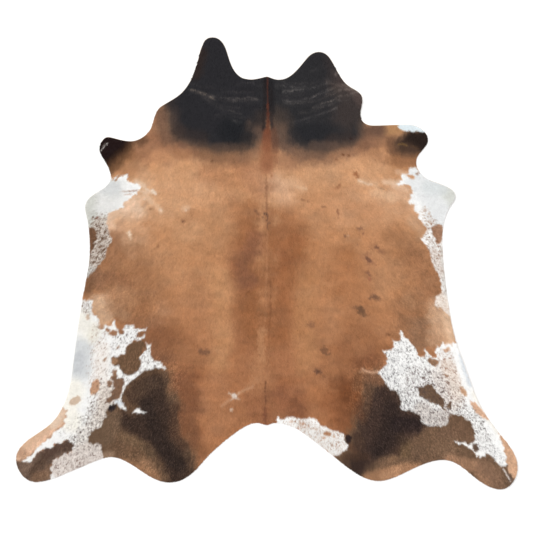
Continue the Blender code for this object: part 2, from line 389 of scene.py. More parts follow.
# haze and soft edges round the neck's black
NECK_TONES = (
    Tone("under the left neck", ((-31, 51.6), (-24, 50), (-12, 50)), 1.5, 6, (126, 91, 69), 0.72),
    Tone("under the left neck outer", ((-40, 54.6), (-34, 52.4)), 1, 4, (146, 104, 79), 0.6),
    Tone("under the right neck", ((14, 49.6), (24, 49), (35, 51.6)), 1.2, 6, (124, 91, 72), 0.62),
    Tone("under the right neck inner", ((7, 47), (10, 46)), 1.0, 5, (160, 116, 88), 0.6),
    Tone("haze left of the wedge end", ((-5.6, 53), (-10, 51.6)), 1.8, 5, (146, 108, 83), 0.8),
    Tone("haze left of the wedge low", ((-4.4, 58.4), (-6.2, 56.6)), 2.4, 4.4, (122, 94, 76), 0.95),
    Tone("haze left of the wedge", ((-3.8, 62.6), (-5, 61.4)), 2.0, 4.2, (92, 74, 65), 0.9),
    Tone("haze left of the wedge top", ((-3, 72), (-4, 67)), 2.4, 4.4, (56, 49, 47), 0.95),
    Tone("haze right of the wedge end", ((9, 55), (13, 53), (16, 51.6)), 1.8, 4.2, (122, 93, 76), 0.75),
    Tone("haze right of the wedge low", ((6.4, 59.6), (10, 57)), 3, 4.4, (108, 84, 71), 0.9),
    Tone("haze right of the wedge", ((5.4, 65), (8, 62)), 2.6, 4.6, (98, 79, 68), 0.9),
    Tone("haze right of the wedge top", ((3.6, 73), (7, 68.4)), 2.6, 4.6, (70, 60, 55), 0.95),
    Tone("left neck edge", ((-48.6, 69), (-47.6, 62), (-45, 58)), 1, 5, (112, 85, 70), 0.7),
    Tone("right throat haze", ((41, 58), (46, 60), (51, 61.6)), 1.6, 4, (104, 78, 65), 0.85),
    Tone("right throat haze low", ((40, 53), (48, 56)), 1.2, 4, (146, 106, 82), 0.65),
)

# paler and darker places in the neck's black
BLACK_TONES = (
    Tone("left neck edge haze", ((-42.6, 70), (-41.6, 63), (-39, 59.6)), 0.4, 4, (74, 61, 56), 0.6),
    Tone("right cheek", ((36, 82), (40, 74), (38, 68)), 3, 8, (64, 56, 54), 0.9),
    Tone("right cheek edge", ((35, 84), (41, 79), (43.4, 74)), 0.8, 3, (86, 72, 68), 0.75),
    Tone("right tab side", ((30, 92), (34, 85)), 1.5, 4, (62, 54, 53), 0.55),
    Tone("left tab side", ((-31, 96), (-33, 88)), 1.5, 4, (54, 42, 38), 0.7),
    Tone("left cheek", ((-48, 78), (-44, 74)), 1, 4, (60, 52, 50), 0.6),
    Tone("left nape deep", ((-16, 62), (-12, 58)), 3, 6, (34, 35, 38), 0.8),
    Tone("right nape deep", ((16, 60), (24, 58)), 3, 6, (40, 40, 43), 0.7),
    Tone("left lower edge warm", ((-40, 60), (-30, 57)), 1.5, 4, (60, 50, 47), 0.55),
    Tone("right lower edge warm", ((30, 56), (38, 57)), 1.5, 3.5, (66, 54, 50), 0.55),
    Tone("beside the mane", ((0.4, 86), (1.8, 78), (2.2, 70)), 0.8, 2, (36, 34, 36), 0.7),
    Tone("left neck edge haze", ((-24, 53.6), (-10, 53.6)), 0.6, 2.2, (96, 75, 63), 0.5),
    Tone("left neck corner haze", ((-39, 54.4), (-38, 53.6)), 0.5, 2, (112, 82, 68), 0.5),
    Tone("left throat under haze", ((-41, 49.8), (-37, 49.8)), 0.8, 3, (166, 118, 86), 0.8),
    Tone("left throat light", ((-51.4, 49.6), (-46.6, 49.6)), 0.8, 3, (202, 148, 108), 0.7),
    Tone("right neck edge haze", ((21, 54), (31, 54)), 0.8, 2.4, (104, 82, 70), 0.6),
    Tone("right throat band", ((43.4, 54.6), (45, 53.8)), 0.8, 3, (122, 88, 68), 0.65),
    Tone("right neck under haze", ((19, 49.8), (25, 49.8)), 0.8, 2.4, (112, 86, 71), 0.6),
)

# the neck's tabs, soft tones first
TAB_TONES = (
    Tone("left tab brown gradient", ((-74, 42), (-71, 45), (-68, 48.6), (-64, 53.4)),
        1.2, 4.0, (100, 70, 49), 0.85),
    Tone("left tab fade out", ((-61, 56.4), (-58.4, 57)), 0.8, 4, (100, 71, 53), 0.8),
    Tone("right tab golden", ((56.2, 61.6), (60, 62.2)), 1.5, 2.4, (178, 134, 94), 0.9),
    Tone("right tab under", ((60, 48.4), (67, 47.4)), 1.2, 3.4, (134, 93, 68), 0.4),
    Tone("right tab side", ((57.6, 56), (58.2, 52)), 0.8, 3, (112, 80, 61), 0.75),
)

# the dark ends of the tabs
TAB_ZONES = (
    Zone("right tab brown", ((60.2, 56.6), (62.4, 58.2), (65, 60), (74, 60.6), (74, 52), (70, 49.8),
        (66, 49.4), (62, 49.8), (59.6, 51.6), (58.8, 55)), 2.4, (78, 59, 48), 1.0),
    Zone("left tab black", ((-80, 60), (-72, 62), (-62.4, 59), (-63.4, 55), (-65.4, 52), (-68, 50),
        (-70, 48.2), (-72.4, 45.8), (-75, 44), (-80, 46)), 2.6, (36, 24, 20), 1.0),
    Zone("right tab black", ((80, 60.8), (66, 61), (64.4, 59.4), (63, 57.4), (64.2, 55.8), (66.8, 54.8),
        (69.4, 53.6), (71.4, 51), (80, 52)), 1.9, (44, 34, 30), 1.0),
)

# fine lines and a knot on the tabs
TAB_MARKS = (
    Tone("right tab dark knot", ((63.2, 56), (62.2, 55.2)), 0.3, 1.0, (56, 43, 38), 0.7),
    Tone("right tab golden line", ((60.4, 54.6), (62.4, 54.9), (64.4, 54.2)), 0.12, 0.5, (128, 98, 60),
        0.75),
    Tone("right tab dark line", ((61, 57.6), (59.8, 55.4)), 0.2, 0.9, (72, 54, 45), 0.6),
    Tone("right tab line low", ((66.6, 54), (69.4, 52.6)), 0.1, 0.5, (92, 68, 50), 0.6),
)

# the mane line and the wedge of tan below it
WEDGE_TONES = (
    Tone("mane line", ((0.3, 86), (0.4, 78), (0.5, 72)), 0.15, 0.5, (84, 48, 40), 0.75),
    Tone("mane line left dark", ((-0.9, 84), (-0.9, 76), (-1.1, 70), (-1.5, 65), (-1.6, 62)),
        0.1, 1.2, (38, 33, 33), 0.62),
    Tone("mane line right dark", ((1.9, 80), (2.0, 72), (2.4, 67), (2.8, 64)), 0.05, 1.1, (44, 38, 38),
        0.4),
    Tone("mane line low", ((0.5, 73), (0.6, 68)), 0.2, 0.7, (96, 55, 43), 0.85),
    Tone("beside the wedge left", ((-0.5, 69.4), (-0.8, 65), (-1.4, 61.6)), 0.3, 1.1, (54, 45, 43), 0.8),
    Tone("beside the wedge right", ((1.7, 69.4), (2, 65), (2.6, 61.8)), 0.3, 1.1, (56, 47, 45), 0.8),
    Tone("mane wedge top", ((0.6, 69), (0.6, 65)), 0.2, 0.8, (92, 54, 43), 0.9),
    Tone("mane wedge", ((0.6, 65), (0.4, 60)), 0.3, 1.1, (102, 62, 46), 0.9),
    Tone("mane wedge low", ((0.3, 60), (0.2, 53)), 1.0, 2.2, (124, 75, 55), 0.9),
    Tone("mane wedge end", ((0.2, 53), (0.2, 45)), 1.0, 4.4, (150, 98, 70), 0.75),
    Tone("mane wedge right side", ((3.2, 61), (3.8, 56), (3.8, 52)), 0.4, 2.2, (104, 73, 59), 0.8),
    Tone("mane wedge right foot", ((3.6, 51), (3.6, 47.6)), 0.4, 2.4, (152, 104, 76), 0.6),
)

# the dark haunches
HIND_ZONES = (
    Zone("left haunch brown", ((-47.4, -47.6), (-45, -50), (-43.8, -54), (-42.8, -58), (-41, -61.6),
        (-39.6, -65), (-38.8, -70), (-39, -74), (-38.4, -78), (-35.6, -81), (-33.4, -84.4), (-32.8, -88),
        (-32.6, -92), (-32, -96), (-32, -106), (-60, -110), (-84, -98), (-84, -60), (-68, -44),
        (-55, -45)), 3.4, (102, 78, 60), 1.0),
    Zone("left haunch dark", ((-58, -50.6), (-51, -48.6), (-47.4, -52), (-46.2, -59), (-44.6, -65),
        (-42.4, -69), (-42.8, -75), (-43, -80), (-39.6, -84), (-36.6, -88), (-35, -92), (-34.8, -97),
        (-36, -106), (-45.4, -105), (-45.8, -97), (-48, -91.6), (-51, -87.6), (-54.6, -84), (-58, -81),
        (-64, -78), (-68, -74.6), (-70, -70), (-66, -68.4), (-61, -68.6), (-58.4, -67), (-62, -63.6),
        (-63, -59), (-61.4, -54)), 3.6, (55, 42, 36), 1.0),
    Zone("right haunch brown", ((50, -49), (46.4, -51.6), (44.8, -55.6), (44.4, -60), (43.4, -64),
        (41.2, -68), (40, -72), (39.4, -75.4), (37, -77.6), (35, -79), (34, -82), (32, -87), (28, -92),
        (36, -108), (108, -114), (118, -97), (98, -70), (86, -62), (60, -52)), 2.8, (106, 82, 64), 1.0),
    Zone("right haunch dark", ((51, -55), (56, -56), (60.6, -59), (63, -64), (64, -67), (69, -68.6),
        (72, -71.6), (73, -75), (70.6, -78), (67, -79.6), (64.4, -81.6), (62.8, -84.6), (60, -87.2),
        (55, -89), (50, -91), (46, -94.4), (43, -100), (37.6, -98), (36.4, -91.4), (40.4, -88),
        (43.4, -84), (42.8, -79), (42.4, -73), (44.4, -68), (47, -62)), 3.4, (59, 45, 40), 1.0),
)

# paler and darker places on the haunches, the rump and the thighs
HIND_TONES = (
    Tone("left rump shade", ((-34.6, -71), (-33.6, -78), (-34, -83)), 0.8, 3.4, (122, 82, 59), 0.75),
    Tone("right hip shade", ((43, -51.6), (41, -57)), 0.8, 3, (116, 78, 54), 0.7),
    Tone("right haunch inner edge", ((46.4, -56), (47, -64), (44, -72)), 0.6, 3, (84, 60, 46), 0.6),
    Tone("left haunch top edge", ((-60, -52.4), (-55, -50), (-51, -49.4)), 0.8, 2.6, (92, 69, 52), 0.7),
    Tone("left haunch fore lobe", ((-65, -60), (-64, -65), (-61, -66.6)), 1.4, 3.4, (90, 67, 51), 0.8),
    Tone("left haunch fore mid", ((-60, -57), (-58, -62)), 1.2, 4, (72, 54, 43), 0.7),
    Tone("left haunch under streak", ((-71, -72), (-74, -80), (-79, -80)), 2, 4, (110, 88, 70), 0.75),
    Tone("left haunch light streak", ((-66, -79.6), (-58, -83.4), (-54, -87)), 0.6, 2.8, (114, 90, 68),
        0.65),
    Tone("left haunch low brown", ((-64, -87), (-58, -89)), 1.4, 3, (108, 81, 61), 0.6),
    Tone("left haunch end light", ((-76, -90), (-72, -88)), 0.8, 2.6, (158, 130, 107), 0.8),
    Tone("left haunch core", ((-56, -64), (-52, -73), (-50, -80), (-45.6, -87), (-41, -93)),
        1.2, 4, (43, 34, 31), 0.8),
    Tone("left haunch inner brown", ((-42, -66), (-42.6, -78), (-38, -84)), 0.8, 3, (74, 52, 41), 0.6),
    Tone("left rump edge light", ((-67, -92.6), (-58, -95), (-52, -98)), 1.6, 3.4, (150, 110, 81), 0.85),
    Tone("left rump edge pale", ((-57, -91), (-54, -94)), 0.6, 3, (162, 122, 91), 0.6),
    Tone("left rump lobe end", ((-38, -100.6), (-35, -98)), 0.4, 2, (60, 44, 36), 0.7),
    Tone("right haunch core", ((57, -68), (56.4, -78), (52, -86)), 2, 5, (43, 34, 32), 0.85),
    Tone("right haunch top brown", ((47, -52), (52, -53.6)), 1.2, 3.4, (120, 84, 62), 0.8),
    Tone("right haunch dark lobe", ((60, -74), (64, -73.6), (68.4, -73.4)), 1.4, 4, (40, 32, 32), 0.85),
    Tone("right haunch dark speck", ((69.2, -77.6), (70.2, -77)), 0.3, 0.9, (44, 35, 33), 0.75),
    Tone("right haunch low dark", ((60, -86.4), (62.4, -85)), 0.8, 2.6, (66, 50, 42), 0.8),
    Tone("right thigh deep", ((66, -86), (71, -86)), 1, 3, (100, 78, 62), 0.6),
    Tone("right thigh light", ((78, -86), (85, -85.6), (84, -79)), 1, 3.4, (124, 97, 77), 0.5),
    Tone("right thigh deep outer", ((91, -78), (79.6, -78.4)), 0.8, 2.4, (106, 81, 65), 0.6),
    Tone("right haunch olive", ((64, -83), (63.6, -87)), 1.2, 2.6, (104, 82, 60), 0.7),
    Tone("right haunch low reddish", ((38, -84), (40.6, -86)), 0.8, 2.2, (96, 68, 53), 0.7),
    Tone("right haunch low brown", ((37, -89), (46, -89)), 0.8, 2.4, (74, 54, 43), 0.6),
    Tone("right rump edge light", ((47, -99), (54, -97), (62, -95.4), (69, -94.6)), 1.6, 3, (160, 119, 89),
        0.9),
    Tone("right rump mid brown", ((53, -91), (57, -90.4)), 0.8, 2.6, (112, 86, 67), 0.75),
    Tone("right rump edge pale", ((54, -98), (60, -95.6)), 1, 2.6, (184, 140, 107), 0.6),
    Tone("right haunch light streak", ((56.6, -90.6), (59, -89.6)), 0.4, 1.4, (136, 104, 79), 0.6),
    Tone("right haunch low smudge", ((69.4, -89), (68.4, -90.6)), 0.3, 1.2, (84, 66, 54), 0.6),
    Tone("right leg under light", ((84, -89.8), (92, -92.6), (96, -93.4), (99.4, -98), (101, -101)),
        0.9, 3, (156, 119, 93), 0.85),
    Tone("right thigh under shade", ((72, -90), (78, -89)), 0.6, 2.4, (106, 81, 64), 0.4),
    Tone("right thigh brown", ((86, -72), (90, -77), (93, -80)), 2, 4, (110, 84, 66), 0.6),
    Tone("right shank grey", ((100, -93.6), (104, -97), (106, -101)), 1.5, 4, (130, 100, 80), 0.8),
    Tone("right shank dark", ((111, -97.4), (113, -102)), 0.4, 2.2, (104, 86, 76), 0.7),
    Tone("right haunch fore", ((41.8, -79.4), (42.4, -84)), 0.9, 2.8, (68, 51, 43), 0.85),
    Tone("right haunch fore top", ((42.6, -65), (43, -70)), 0.6, 2.6, (94, 61, 44), 0.6),
    Tone("right haunch hind mid", ((61, -80.4), (63, -81.6)), 0.6, 2.6, (58, 45, 38), 0.75),
    Tone("left rump beside the dark", ((-38.8, -69.4), (-37.8, -78)), 0.8, 2.4, (120, 79, 56), 0.75),
    Tone("left haunch low edge", ((-55, -84.6), (-53, -87.4)), 0.5, 2.6, (82, 64, 50), 0.8),
    Tone("left haunch low edge light", ((-54.4, -91.4), (-52.4, -93.4)), 0.5, 2, (140, 106, 81), 0.6),
    Tone("left haunch fore top", ((-63.6, -60), (-61.4, -62.6)), 0.5, 2.4, (68, 51, 42), 0.7),
    Tone("left haunch upper mid", ((-58, -60), (-54, -55.6), (-51, -55)), 1.4, 3.6, (80, 62, 50), 0.55),
)

# the brown of the left shank
SHANKS = (
    Zone("left shank strip", ((-95, -66.4), (-93, -66.4), (-91.6, -68), (-92.8, -69.4), (-92, -71),
        (-94, -72.4), (-92.8, -74), (-95, -75.4), (-97, -76.4), (-98, -78.4), (-100.4, -80),
        (-101.4, -81.4), (-103.4, -83), (-105, -84.4), (-107, -86.4), (-108.4, -88.4), (-110, -89.4),
        (-112, -90.2), (-114, -91), (-122, -93), (-120, -80), (-105, -68)), 0.5, (222, 184, 156), 1.0),
    Zone("left shank", ((-120, -91), (-114, -91), (-110, -91.4), (-108, -91), (-106.4, -89.4),
        (-105.4, -87), (-103, -86.4), (-101.4, -84.6), (-98, -84.8), (-97.2, -83.4), (-96, -82.4),
        (-94.4, -83), (-93, -82), (-91.4, -81), (-89.2, -82.2), (-88.2, -83.4), (-88.2, -85.2),
        (-90, -86.6), (-94.4, -88.8), (-98.4, -90.4), (-98.6, -92.4), (-99.6, -94), (-98.6, -97),
        (-99.6, -100), (-102, -106), (-120, -104)), 0.5, (92, 74, 64), 1.0),
)

# tones of the feet and the left shank
SHANK_TONES = (
    Tone("left foot", ((-112.4, -96), (-110, -93)), 1.4, 3, (124, 101, 86), 0.8),
    Tone("left foot streak", ((-108, -96), (-104, -92), (-101, -88)), 0.8, 2, (84, 65, 53), 0.8),
    Tone("left foot low", ((-106, -99), (-101.6, -97)), 1, 2.6, (126, 96, 74), 0.75),
    Tone("left foot top", ((-107, -89), (-105.6, -88.2)), 0.6, 1.8, (112, 91, 79), 0.7),
    Tone("left foot pale", ((-100, -94), (-99.6, -100)), 0.8, 2.4, (128, 100, 80), 0.7),
    Tone("left shank dark", ((-101, -87.4), (-95.4, -85.4), (-90.4, -83.6)), 0.8, 2.4, (82, 63, 54), 0.8),
    Tone("left shank light end", ((-96, -88.6), (-93.6, -87.4)), 0.3, 1.4, (124, 102, 88), 0.6),
    Tone("left foot edge", ((-116, -92), (-115, -96)), 0.8, 2, (100, 80, 67), 0.7),
    Tone("left strip warm", ((-101, -75), (-107, -80), (-111, -84)), 0.4, 2.4, (216, 180, 150), 0.7),
    Tone("left strip end", ((-116, -86), (-111, -88.4)), 0.8, 2.6, (184, 147, 120), 0.85),
    Tone("left strip top", ((-95, -69), (-98, -74)), 0.8, 2.6, (229, 205, 182), 0.8),
    Tone("right foot line", ((108.8, -94.6), (112, -100.2)), 0.12, 0.5, (216, 208, 202), 0.85),
)

# single marks: along the spine, with painted light on its ridge and painted shade in its groove, dots,
# scars and smudges
MARKS = (
    Tone("spine line upper", ((-0.3, 40), (0, 30), (0.1, 18)), 0.1, 0.7, (140, 98, 72), 0.6),
    Tone("spine knot", ((-0.9, 22.9), (0.3, 22.3)), 0.1, 0.7, (84, 62, 58), 0.85),
    Tone("spine knot low", ((0.4, 21.2), (0.2, 19.8)), 0.1, 0.5, (88, 64, 58), 0.8),
    Tone("spine knot speck a", ((-1.8, 21.2),), 0.1, 0.45, (104, 76, 64), 0.7),
    Tone("spine knot speck b", ((1.6, 23.6),), 0.1, 0.4, (110, 80, 66), 0.7),
    Tone("spine knot speck c", ((1.2, 18.6),), 0.1, 0.4, (112, 80, 66), 0.7),
    Tone("spine knot tail", ((0.3, 18.4), (0.5, 15.6)), 0.08, 0.45, (116, 82, 66), 0.75),
    Tone("brown line by the knot", ((-5.2, 24), (-3.6, 22.2)), 0.2, 0.6, (130, 90, 68), 0.7),
    # the pale line where the hair parts, partly painted light on the spine's ridge
    Tone("pale spine", ((0.2, 14), (0, -8)), 0.05, 0.6, (182, 130, 94), 0.55),
    Tone("pale spine mid", ((-0.2, -8.5), (-0.4, -20), (-1, -31)), 0.05, 0.7, (178, 126, 90), 0.5),
    Tone("pale spine low", ((-2.2, -31), (-2.6, -44)), 0.6, 2.0, (188, 138, 100), 0.65),
    Tone("pale spine end", ((-2.8, -45), (-4.6, -54)), 1.4, 3.6, (180, 129, 92), 0.55),
    Tone("pale spine fork", ((-5, -54), (-8.6, -56.6)), 0.4, 2.2, (184, 134, 98), 0.5),
    # painted shade: a thin dark line down the spine's groove
    Tone("painted shade in the spine's groove", ((1.6, -8), (2.0, -13), (1.7, -18), (1.9, -24), (1.0, -30), (0.8, -35)),
        0.05, 0.5, (126, 82, 56), 0.6),
    Tone("painted shade lower on the spine", ((-0.6, -54), (-0.5, -63), (-0.9, -68), (-0.6, -74)),
        0.06, 0.6, (112, 72, 53), 0.75),
    Tone("painted shade at the spine's end", ((-0.9, -67), (-0.7, -74)), 0.3, 1.4, (124, 78, 58), 0.55),
    Tone("whorl", ((-3.6, -21), (-1.4, -22.5), (-0.4, -23.8)), 0.3, 1.0, (140, 96, 66), 0.7),
    Tone("dot a", ((-25, 47),), 0.22, 0.56, (96, 66, 48), 0.9),
    Tone("dot b", ((32, 47.8),), 0.22, 0.64, (112, 68, 46), 0.84),
    Tone("dot c", ((35, 50.2), (35.4, 49.4)), 0.17, 0.56, (112, 70, 48), 0.78),
    Tone("dot d", ((37.3, 49.6), (38.2, 49.2)), 0.17, 0.56, (112, 70, 48), 0.73),
    Tone("dot e", ((2.2, 40.4),), 0.28, 0.72, (150, 98, 66), 0.78),
    Tone("dot f", ((40.8, 40.9), (41.4, 40.4)), 0.3, 1.1, (158, 104, 70), 0.9),
    Tone("dot g", ((32.4, 35.2), (33.4, 35.8)), 0.15, 0.9, (150, 102, 74), 0.85),
    Tone("dot g halo", ((31.6, 34.4), (33, 34.8)), 0.2, 1.4, (172, 122, 88), 0.6),
    Tone("dot h", ((-38.3, 19.4),), 0.15, 0.9, (112, 76, 60), 0.95),
    Tone("halo of dot h", ((-39.6, 19.5), (-36.5, 20.5), (-35, 22)), 1.0, 2.8, (168, 118, 82), 0.3),
    Tone("dot i", ((-50, 8),), 0.14, 0.64, (136, 92, 64), 0.9),
    Tone("dot j", ((-53.4, 25),), 0.14, 0.56, (140, 102, 74), 0.9),
    Tone("scar a", ((16.4, 29.3), (18, 28.9), (19.6, 28.2)), 0.08, 0.45, (140, 98, 74), 0.7),
    Tone("scar b", ((25.6, 26), (27.2, 25.4)), 0.12, 0.5, (140, 98, 74), 0.7),
    Tone("scar c", ((32.6, 24.2), (32.7, 23)), 0.25, 0.6, (134, 90, 68), 0.75),
    Tone("scar c tail", ((32.8, 22.8), (33, 20.6)), 0.08, 0.4, (158, 112, 84), 0.6),
    Tone("scar d", ((51, 34.7), (53.8, 34.1)), 0.08, 0.35, (140, 110, 86), 0.75),
    Tone("dot k", ((35.8, 13.2), (36.2, 12)), 0.15, 0.6, (126, 90, 70), 0.8),
    Tone("pale by dot k", ((37.4, 12.6),), 0.2, 0.7, (206, 166, 136), 0.5),
    Tone("dot l", ((42.2, 15.9), (43.4, 16.3), (44, 15.5)), 0.15, 0.75, (120, 84, 70), 0.85),
    Tone("dot l halo", ((43, 15.6),), 0.6, 1.8, (160, 116, 86), 0.5),
    Tone("dot m", ((44.2, 13.6),), 0.15, 0.6, (138, 96, 74), 0.75),
    Tone("dot n", ((41.8, 8.8),), 0.2, 0.6, (140, 102, 80), 0.7),
    Tone("pale by dot n", ((42.6, 10.8),), 0.2, 0.7, (200, 158, 126), 0.4),
    Tone("smudge a halo", ((48.6, 8), (51, 6.8), (54, 5)), 0.5, 1.8, (156, 110, 80), 0.5),
    Tone("smudge a", ((50.3, 7.2), (51.1, 7.0)), 0.15, 0.85, (106, 72, 60), 0.62),
    Tone("smudge a tail", ((52, 5.8), (53.4, 5.2)), 0.1, 0.7, (140, 98, 74), 0.5),
    Tone("smudge b halo", ((45.4, 3.8), (46.8, 2.0), (48.4, 0)), 0.6, 1.9, (152, 106, 80), 0.5),
    Tone("smudge b", ((46.2, 2.2), (47.2, 1.6), (47.6, 0.8)), 0.2, 0.9, (100, 68, 58), 0.62),
    Tone("smudge c", ((46, -4.2), (46.8, -5.2), (47.4, -5.6)), 0.15, 0.85, (112, 76, 64), 0.65),
    Tone("smudge c halo", ((46.6, -5),), 0.6, 1.8, (156, 110, 82), 0.5),
    Tone("smudge c red", ((47.3, -7.2),), 0.3, 0.7, (150, 92, 72), 0.6),
    Tone("smudge d", ((47.8, -15.6), (49.8, -15.8), (51, -16.6)), 0.35, 1.1, (108, 78, 62), 0.7),
    Tone("smudge d peak", ((49.4, -14.4), (50.2, -15.4)), 0.1, 0.7, (112, 80, 66), 0.4),
    Tone("smudge e", ((40.6, -20.4), (42.6, -20.4), (43.6, -21.2)), 0.3, 1.1, (118, 84, 64), 0.6),
    Tone("smudge e low", ((43, -21.6), (44.6, -23)), 0.7, 1.4, (104, 76, 58), 0.7),
    Tone("smudge f", ((-30, -40.8), (-28.6, -41.2), (-27.4, -40.6)), 0.4, 1.4, (116, 82, 64), 0.7),
    Tone("smudge g", ((26.4, -40.2), (27.2, -41.2)), 0.7, 1.7, (120, 84, 62), 0.8),
    Tone("smudge h", ((23, -49.6), (24.2, -50)), 0.6, 1.1, (98, 68, 56), 0.8),
    Tone("smudge h tail", ((24.6, -51), (26.8, -51.8)), 0.2, 0.8, (136, 92, 66), 0.7),
    Tone("smudge i", ((20.4, -28),), 0.4, 1.8, (138, 96, 72), 0.7),
    Tone("smudge j", ((55.3, -32.6), (56.4, -32.8)), 0.22, 0.72, (112, 74, 52), 0.9),
    Tone("smudge k", ((12, -63), (16, -67.5)), 0.55, 2.4, (128, 84, 60), 0.67),
    Tone("smudge l", ((38, -1.8),), 0.33, 1.1, (154, 108, 78), 0.56),
    Tone("smudge m", ((73.6, -3.8),), 0.11, 0.48, (120, 84, 62), 0.78),
    Tone("smudge n", ((38.8, 57.2),), 0.17, 0.72, (50, 36, 32), 0.9),
    Tone("scar on left tab", ((-76.6, 50.6), (-76.2, 51.8), (-74.8, 53.6), (-73.2, 55.2)),
        0.06, 0.3, (176, 170, 166), 0.95),
    Tone("scar on left tab b", ((-75.6, 53.6), (-74.2, 55.2)), 0.04, 0.28, (120, 112, 108), 0.7),
    Tone("leg fold", ((108.6, -94.8), (111.6, -99.6)), 0.1, 0.6, (84, 66, 58), 0.7),
)

# wrinkle lines across the neck
CREASES = (
    Tone("left crease bright", ((-34.8, 79.9), (-30.2, 78.5), (-26.5, 77.1), (-23.8, 75.3)),
        0.06, 0.28, (138, 124, 112), 0.9),
    Tone("left crease fork", ((-26.5, 77.1), (-21.5, 76.2), (-14.6, 75.6), (-7.7, 76), (-4.2, 75.3)),
        0.06, 0.28, (112, 104, 99), 0.8),
    Tone("left crease low fork", ((-18, 75), (-14.6, 74.7), (-7.7, 74.9), (-3, 75)),
        0.06, 0.28, (98, 90, 87), 0.7),
    Tone("left crease falling", ((-32.5, 79.2), (-27.2, 75.6), (-23.8, 72.3), (-19.2, 70), (-14.6, 69.1)),
        0.04, 0.26, (80, 75, 73), 0.7),
    Tone("left crease falling end", ((-17, 69.8), (-14.6, 69.3), (-11.1, 68.8)), 0.04, 0.26, (94, 88, 86),
        0.5),
    Tone("left specks", ((-17.6, 66.2), (-14.6, 65.2), (-11.1, 64.7)), 0.06, 0.28, (84, 80, 79), 0.7),
    Tone("left crease top", ((-14, 82.4), (-7, 82.9), (-2.4, 82)), 0.03, 0.26, (78, 74, 74), 0.7),
    Tone("left crease high", ((-36, 83), (-30, 81.6), (-24, 80.6)), 0.03, 0.26, (72, 67, 66), 0.7),
    Tone("right crease a", ((3.8, 82), (10.7, 81.4), (17, 80.8), (22.2, 80.6), (26.2, 82.2), (29.1, 83.7)),
        0.06, 0.28, (106, 101, 99), 0.8),
    Tone("right crease b", ((7.3, 79.1), (13, 79.4), (17, 79.7)), 0.06, 0.28, (136, 129, 124), 0.9),
    Tone("right crease c", ((7.3, 74.7), (13, 74.7), (17.6, 75.1), (22.2, 76.8), (26.8, 79.1),
        (30.3, 80.8)), 0.06, 0.28, (118, 111, 108), 0.85),
    Tone("right crease d", ((7.6, 73.7), (13, 73.7), (16.8, 73.9)), 0.06, 0.28, (120, 112, 106), 0.8),
    Tone("right crease e", ((21, 71.6), (26.8, 73.9), (32.6, 76.2), (37.2, 77.6), (41.8, 78.5)),
        0.06, 0.28, (126, 115, 108), 0.85),
    Tone("right crease e low", ((22, 70.4), (28, 72.8), (34, 75)), 0.03, 0.26, (88, 82, 80), 0.7),
    Tone("right crease f", ((11.9, 64.7), (17.6, 65.9), (22.2, 67.6), (26.8, 69.3), (32.6, 71.6)),
        0.06, 0.28, (104, 98, 96), 0.75),
    Tone("right crease f low", ((13, 63.6), (18, 64.6), (23, 66)), 0.03, 0.26, (76, 72, 72), 0.7),
    Tone("right crease g", ((27.3, 83.8), (31.4, 82.5), (36, 82.2), (39.2, 82)),
        0.06, 0.28, (116, 103, 96), 0.8),
    Tone("right crease g low", ((31, 79.6), (35, 80.8), (39.6, 80.6)), 0.03, 0.26, (94, 83, 79), 0.7),
    Tone("right crease high", ((29.6, 88.9), (33.7, 86.6), (36, 84.8)), 0.06, 0.28, (102, 90, 84), 0.7),
    Tone("right crease faint", ((20, 88.6), (23, 89.3), (26.4, 90)), 0.03, 0.26, (80, 76, 76), 0.6),
    Tone("right neck speck", ((31.7, 87.2),), 0.3, 0.5, (130, 120, 116), 0.7),
    Tone("right crease low", ((24, 65), (29, 66.4), (33, 68.4)), 0.03, 0.26, (72, 66, 66), 0.6),
    Tone("left crease long", ((-36, 80), (-30, 77.4), (-25, 75.6), (-18, 74)), 0.03, 0.26, (86, 79, 76),
        0.45),
    Tone("left crease long low", ((-30, 76), (-24, 73.4), (-18, 71.6), (-12, 71.8)),
        0.03, 0.26, (80, 74, 73), 0.7),
    Tone("left crease faint", ((-22, 79.4), (-14, 78.6), (-6, 78.8)), 0.03, 0.26, (76, 71, 71), 0.7),
    Tone("left crease faint low", ((-24, 68), (-17, 67.4), (-10, 66.8)), 0.03, 0.26, (70, 66, 66), 0.7),
    Tone("right crease long a", ((5, 83.4), (13, 83), (20, 82.4), (27, 84.4), (31, 87)),
        0.03, 0.26, (84, 79, 78), 0.7),
    Tone("right crease long b", ((17, 74), (23, 74.6), (30, 77.6), (36, 80), (41, 80.4)),
        0.03, 0.26, (92, 84, 81), 0.75),
    Tone("right crease long c", ((14, 69), (20, 69.6), (27, 72), (34, 74.6), (40, 76.4)),
        0.03, 0.26, (84, 78, 76), 0.75),
    Tone("right crease fan a", ((28, 80), (33, 81.4), (38, 81.2), (42, 79.8)), 0.05, 0.26, (132, 116, 106),
        0.9),
    Tone("right crease fan b", ((27, 77.4), (33, 79.4), (38, 80), (42, 79.2)), 0.05, 0.26, (124, 110, 102),
        0.85),
    Tone("right crease faint mid", ((6, 77), (13, 77), (20, 77.6)), 0.03, 0.26, (80, 75, 75), 0.7),
)

# how far beside each wrinkle its fainter lines run, in cm, and how strong they are
CREASE_LINES = ((0.0, 1.0), (0.55, 0.4), (-0.6, 0.34), (1.2, 0.22))

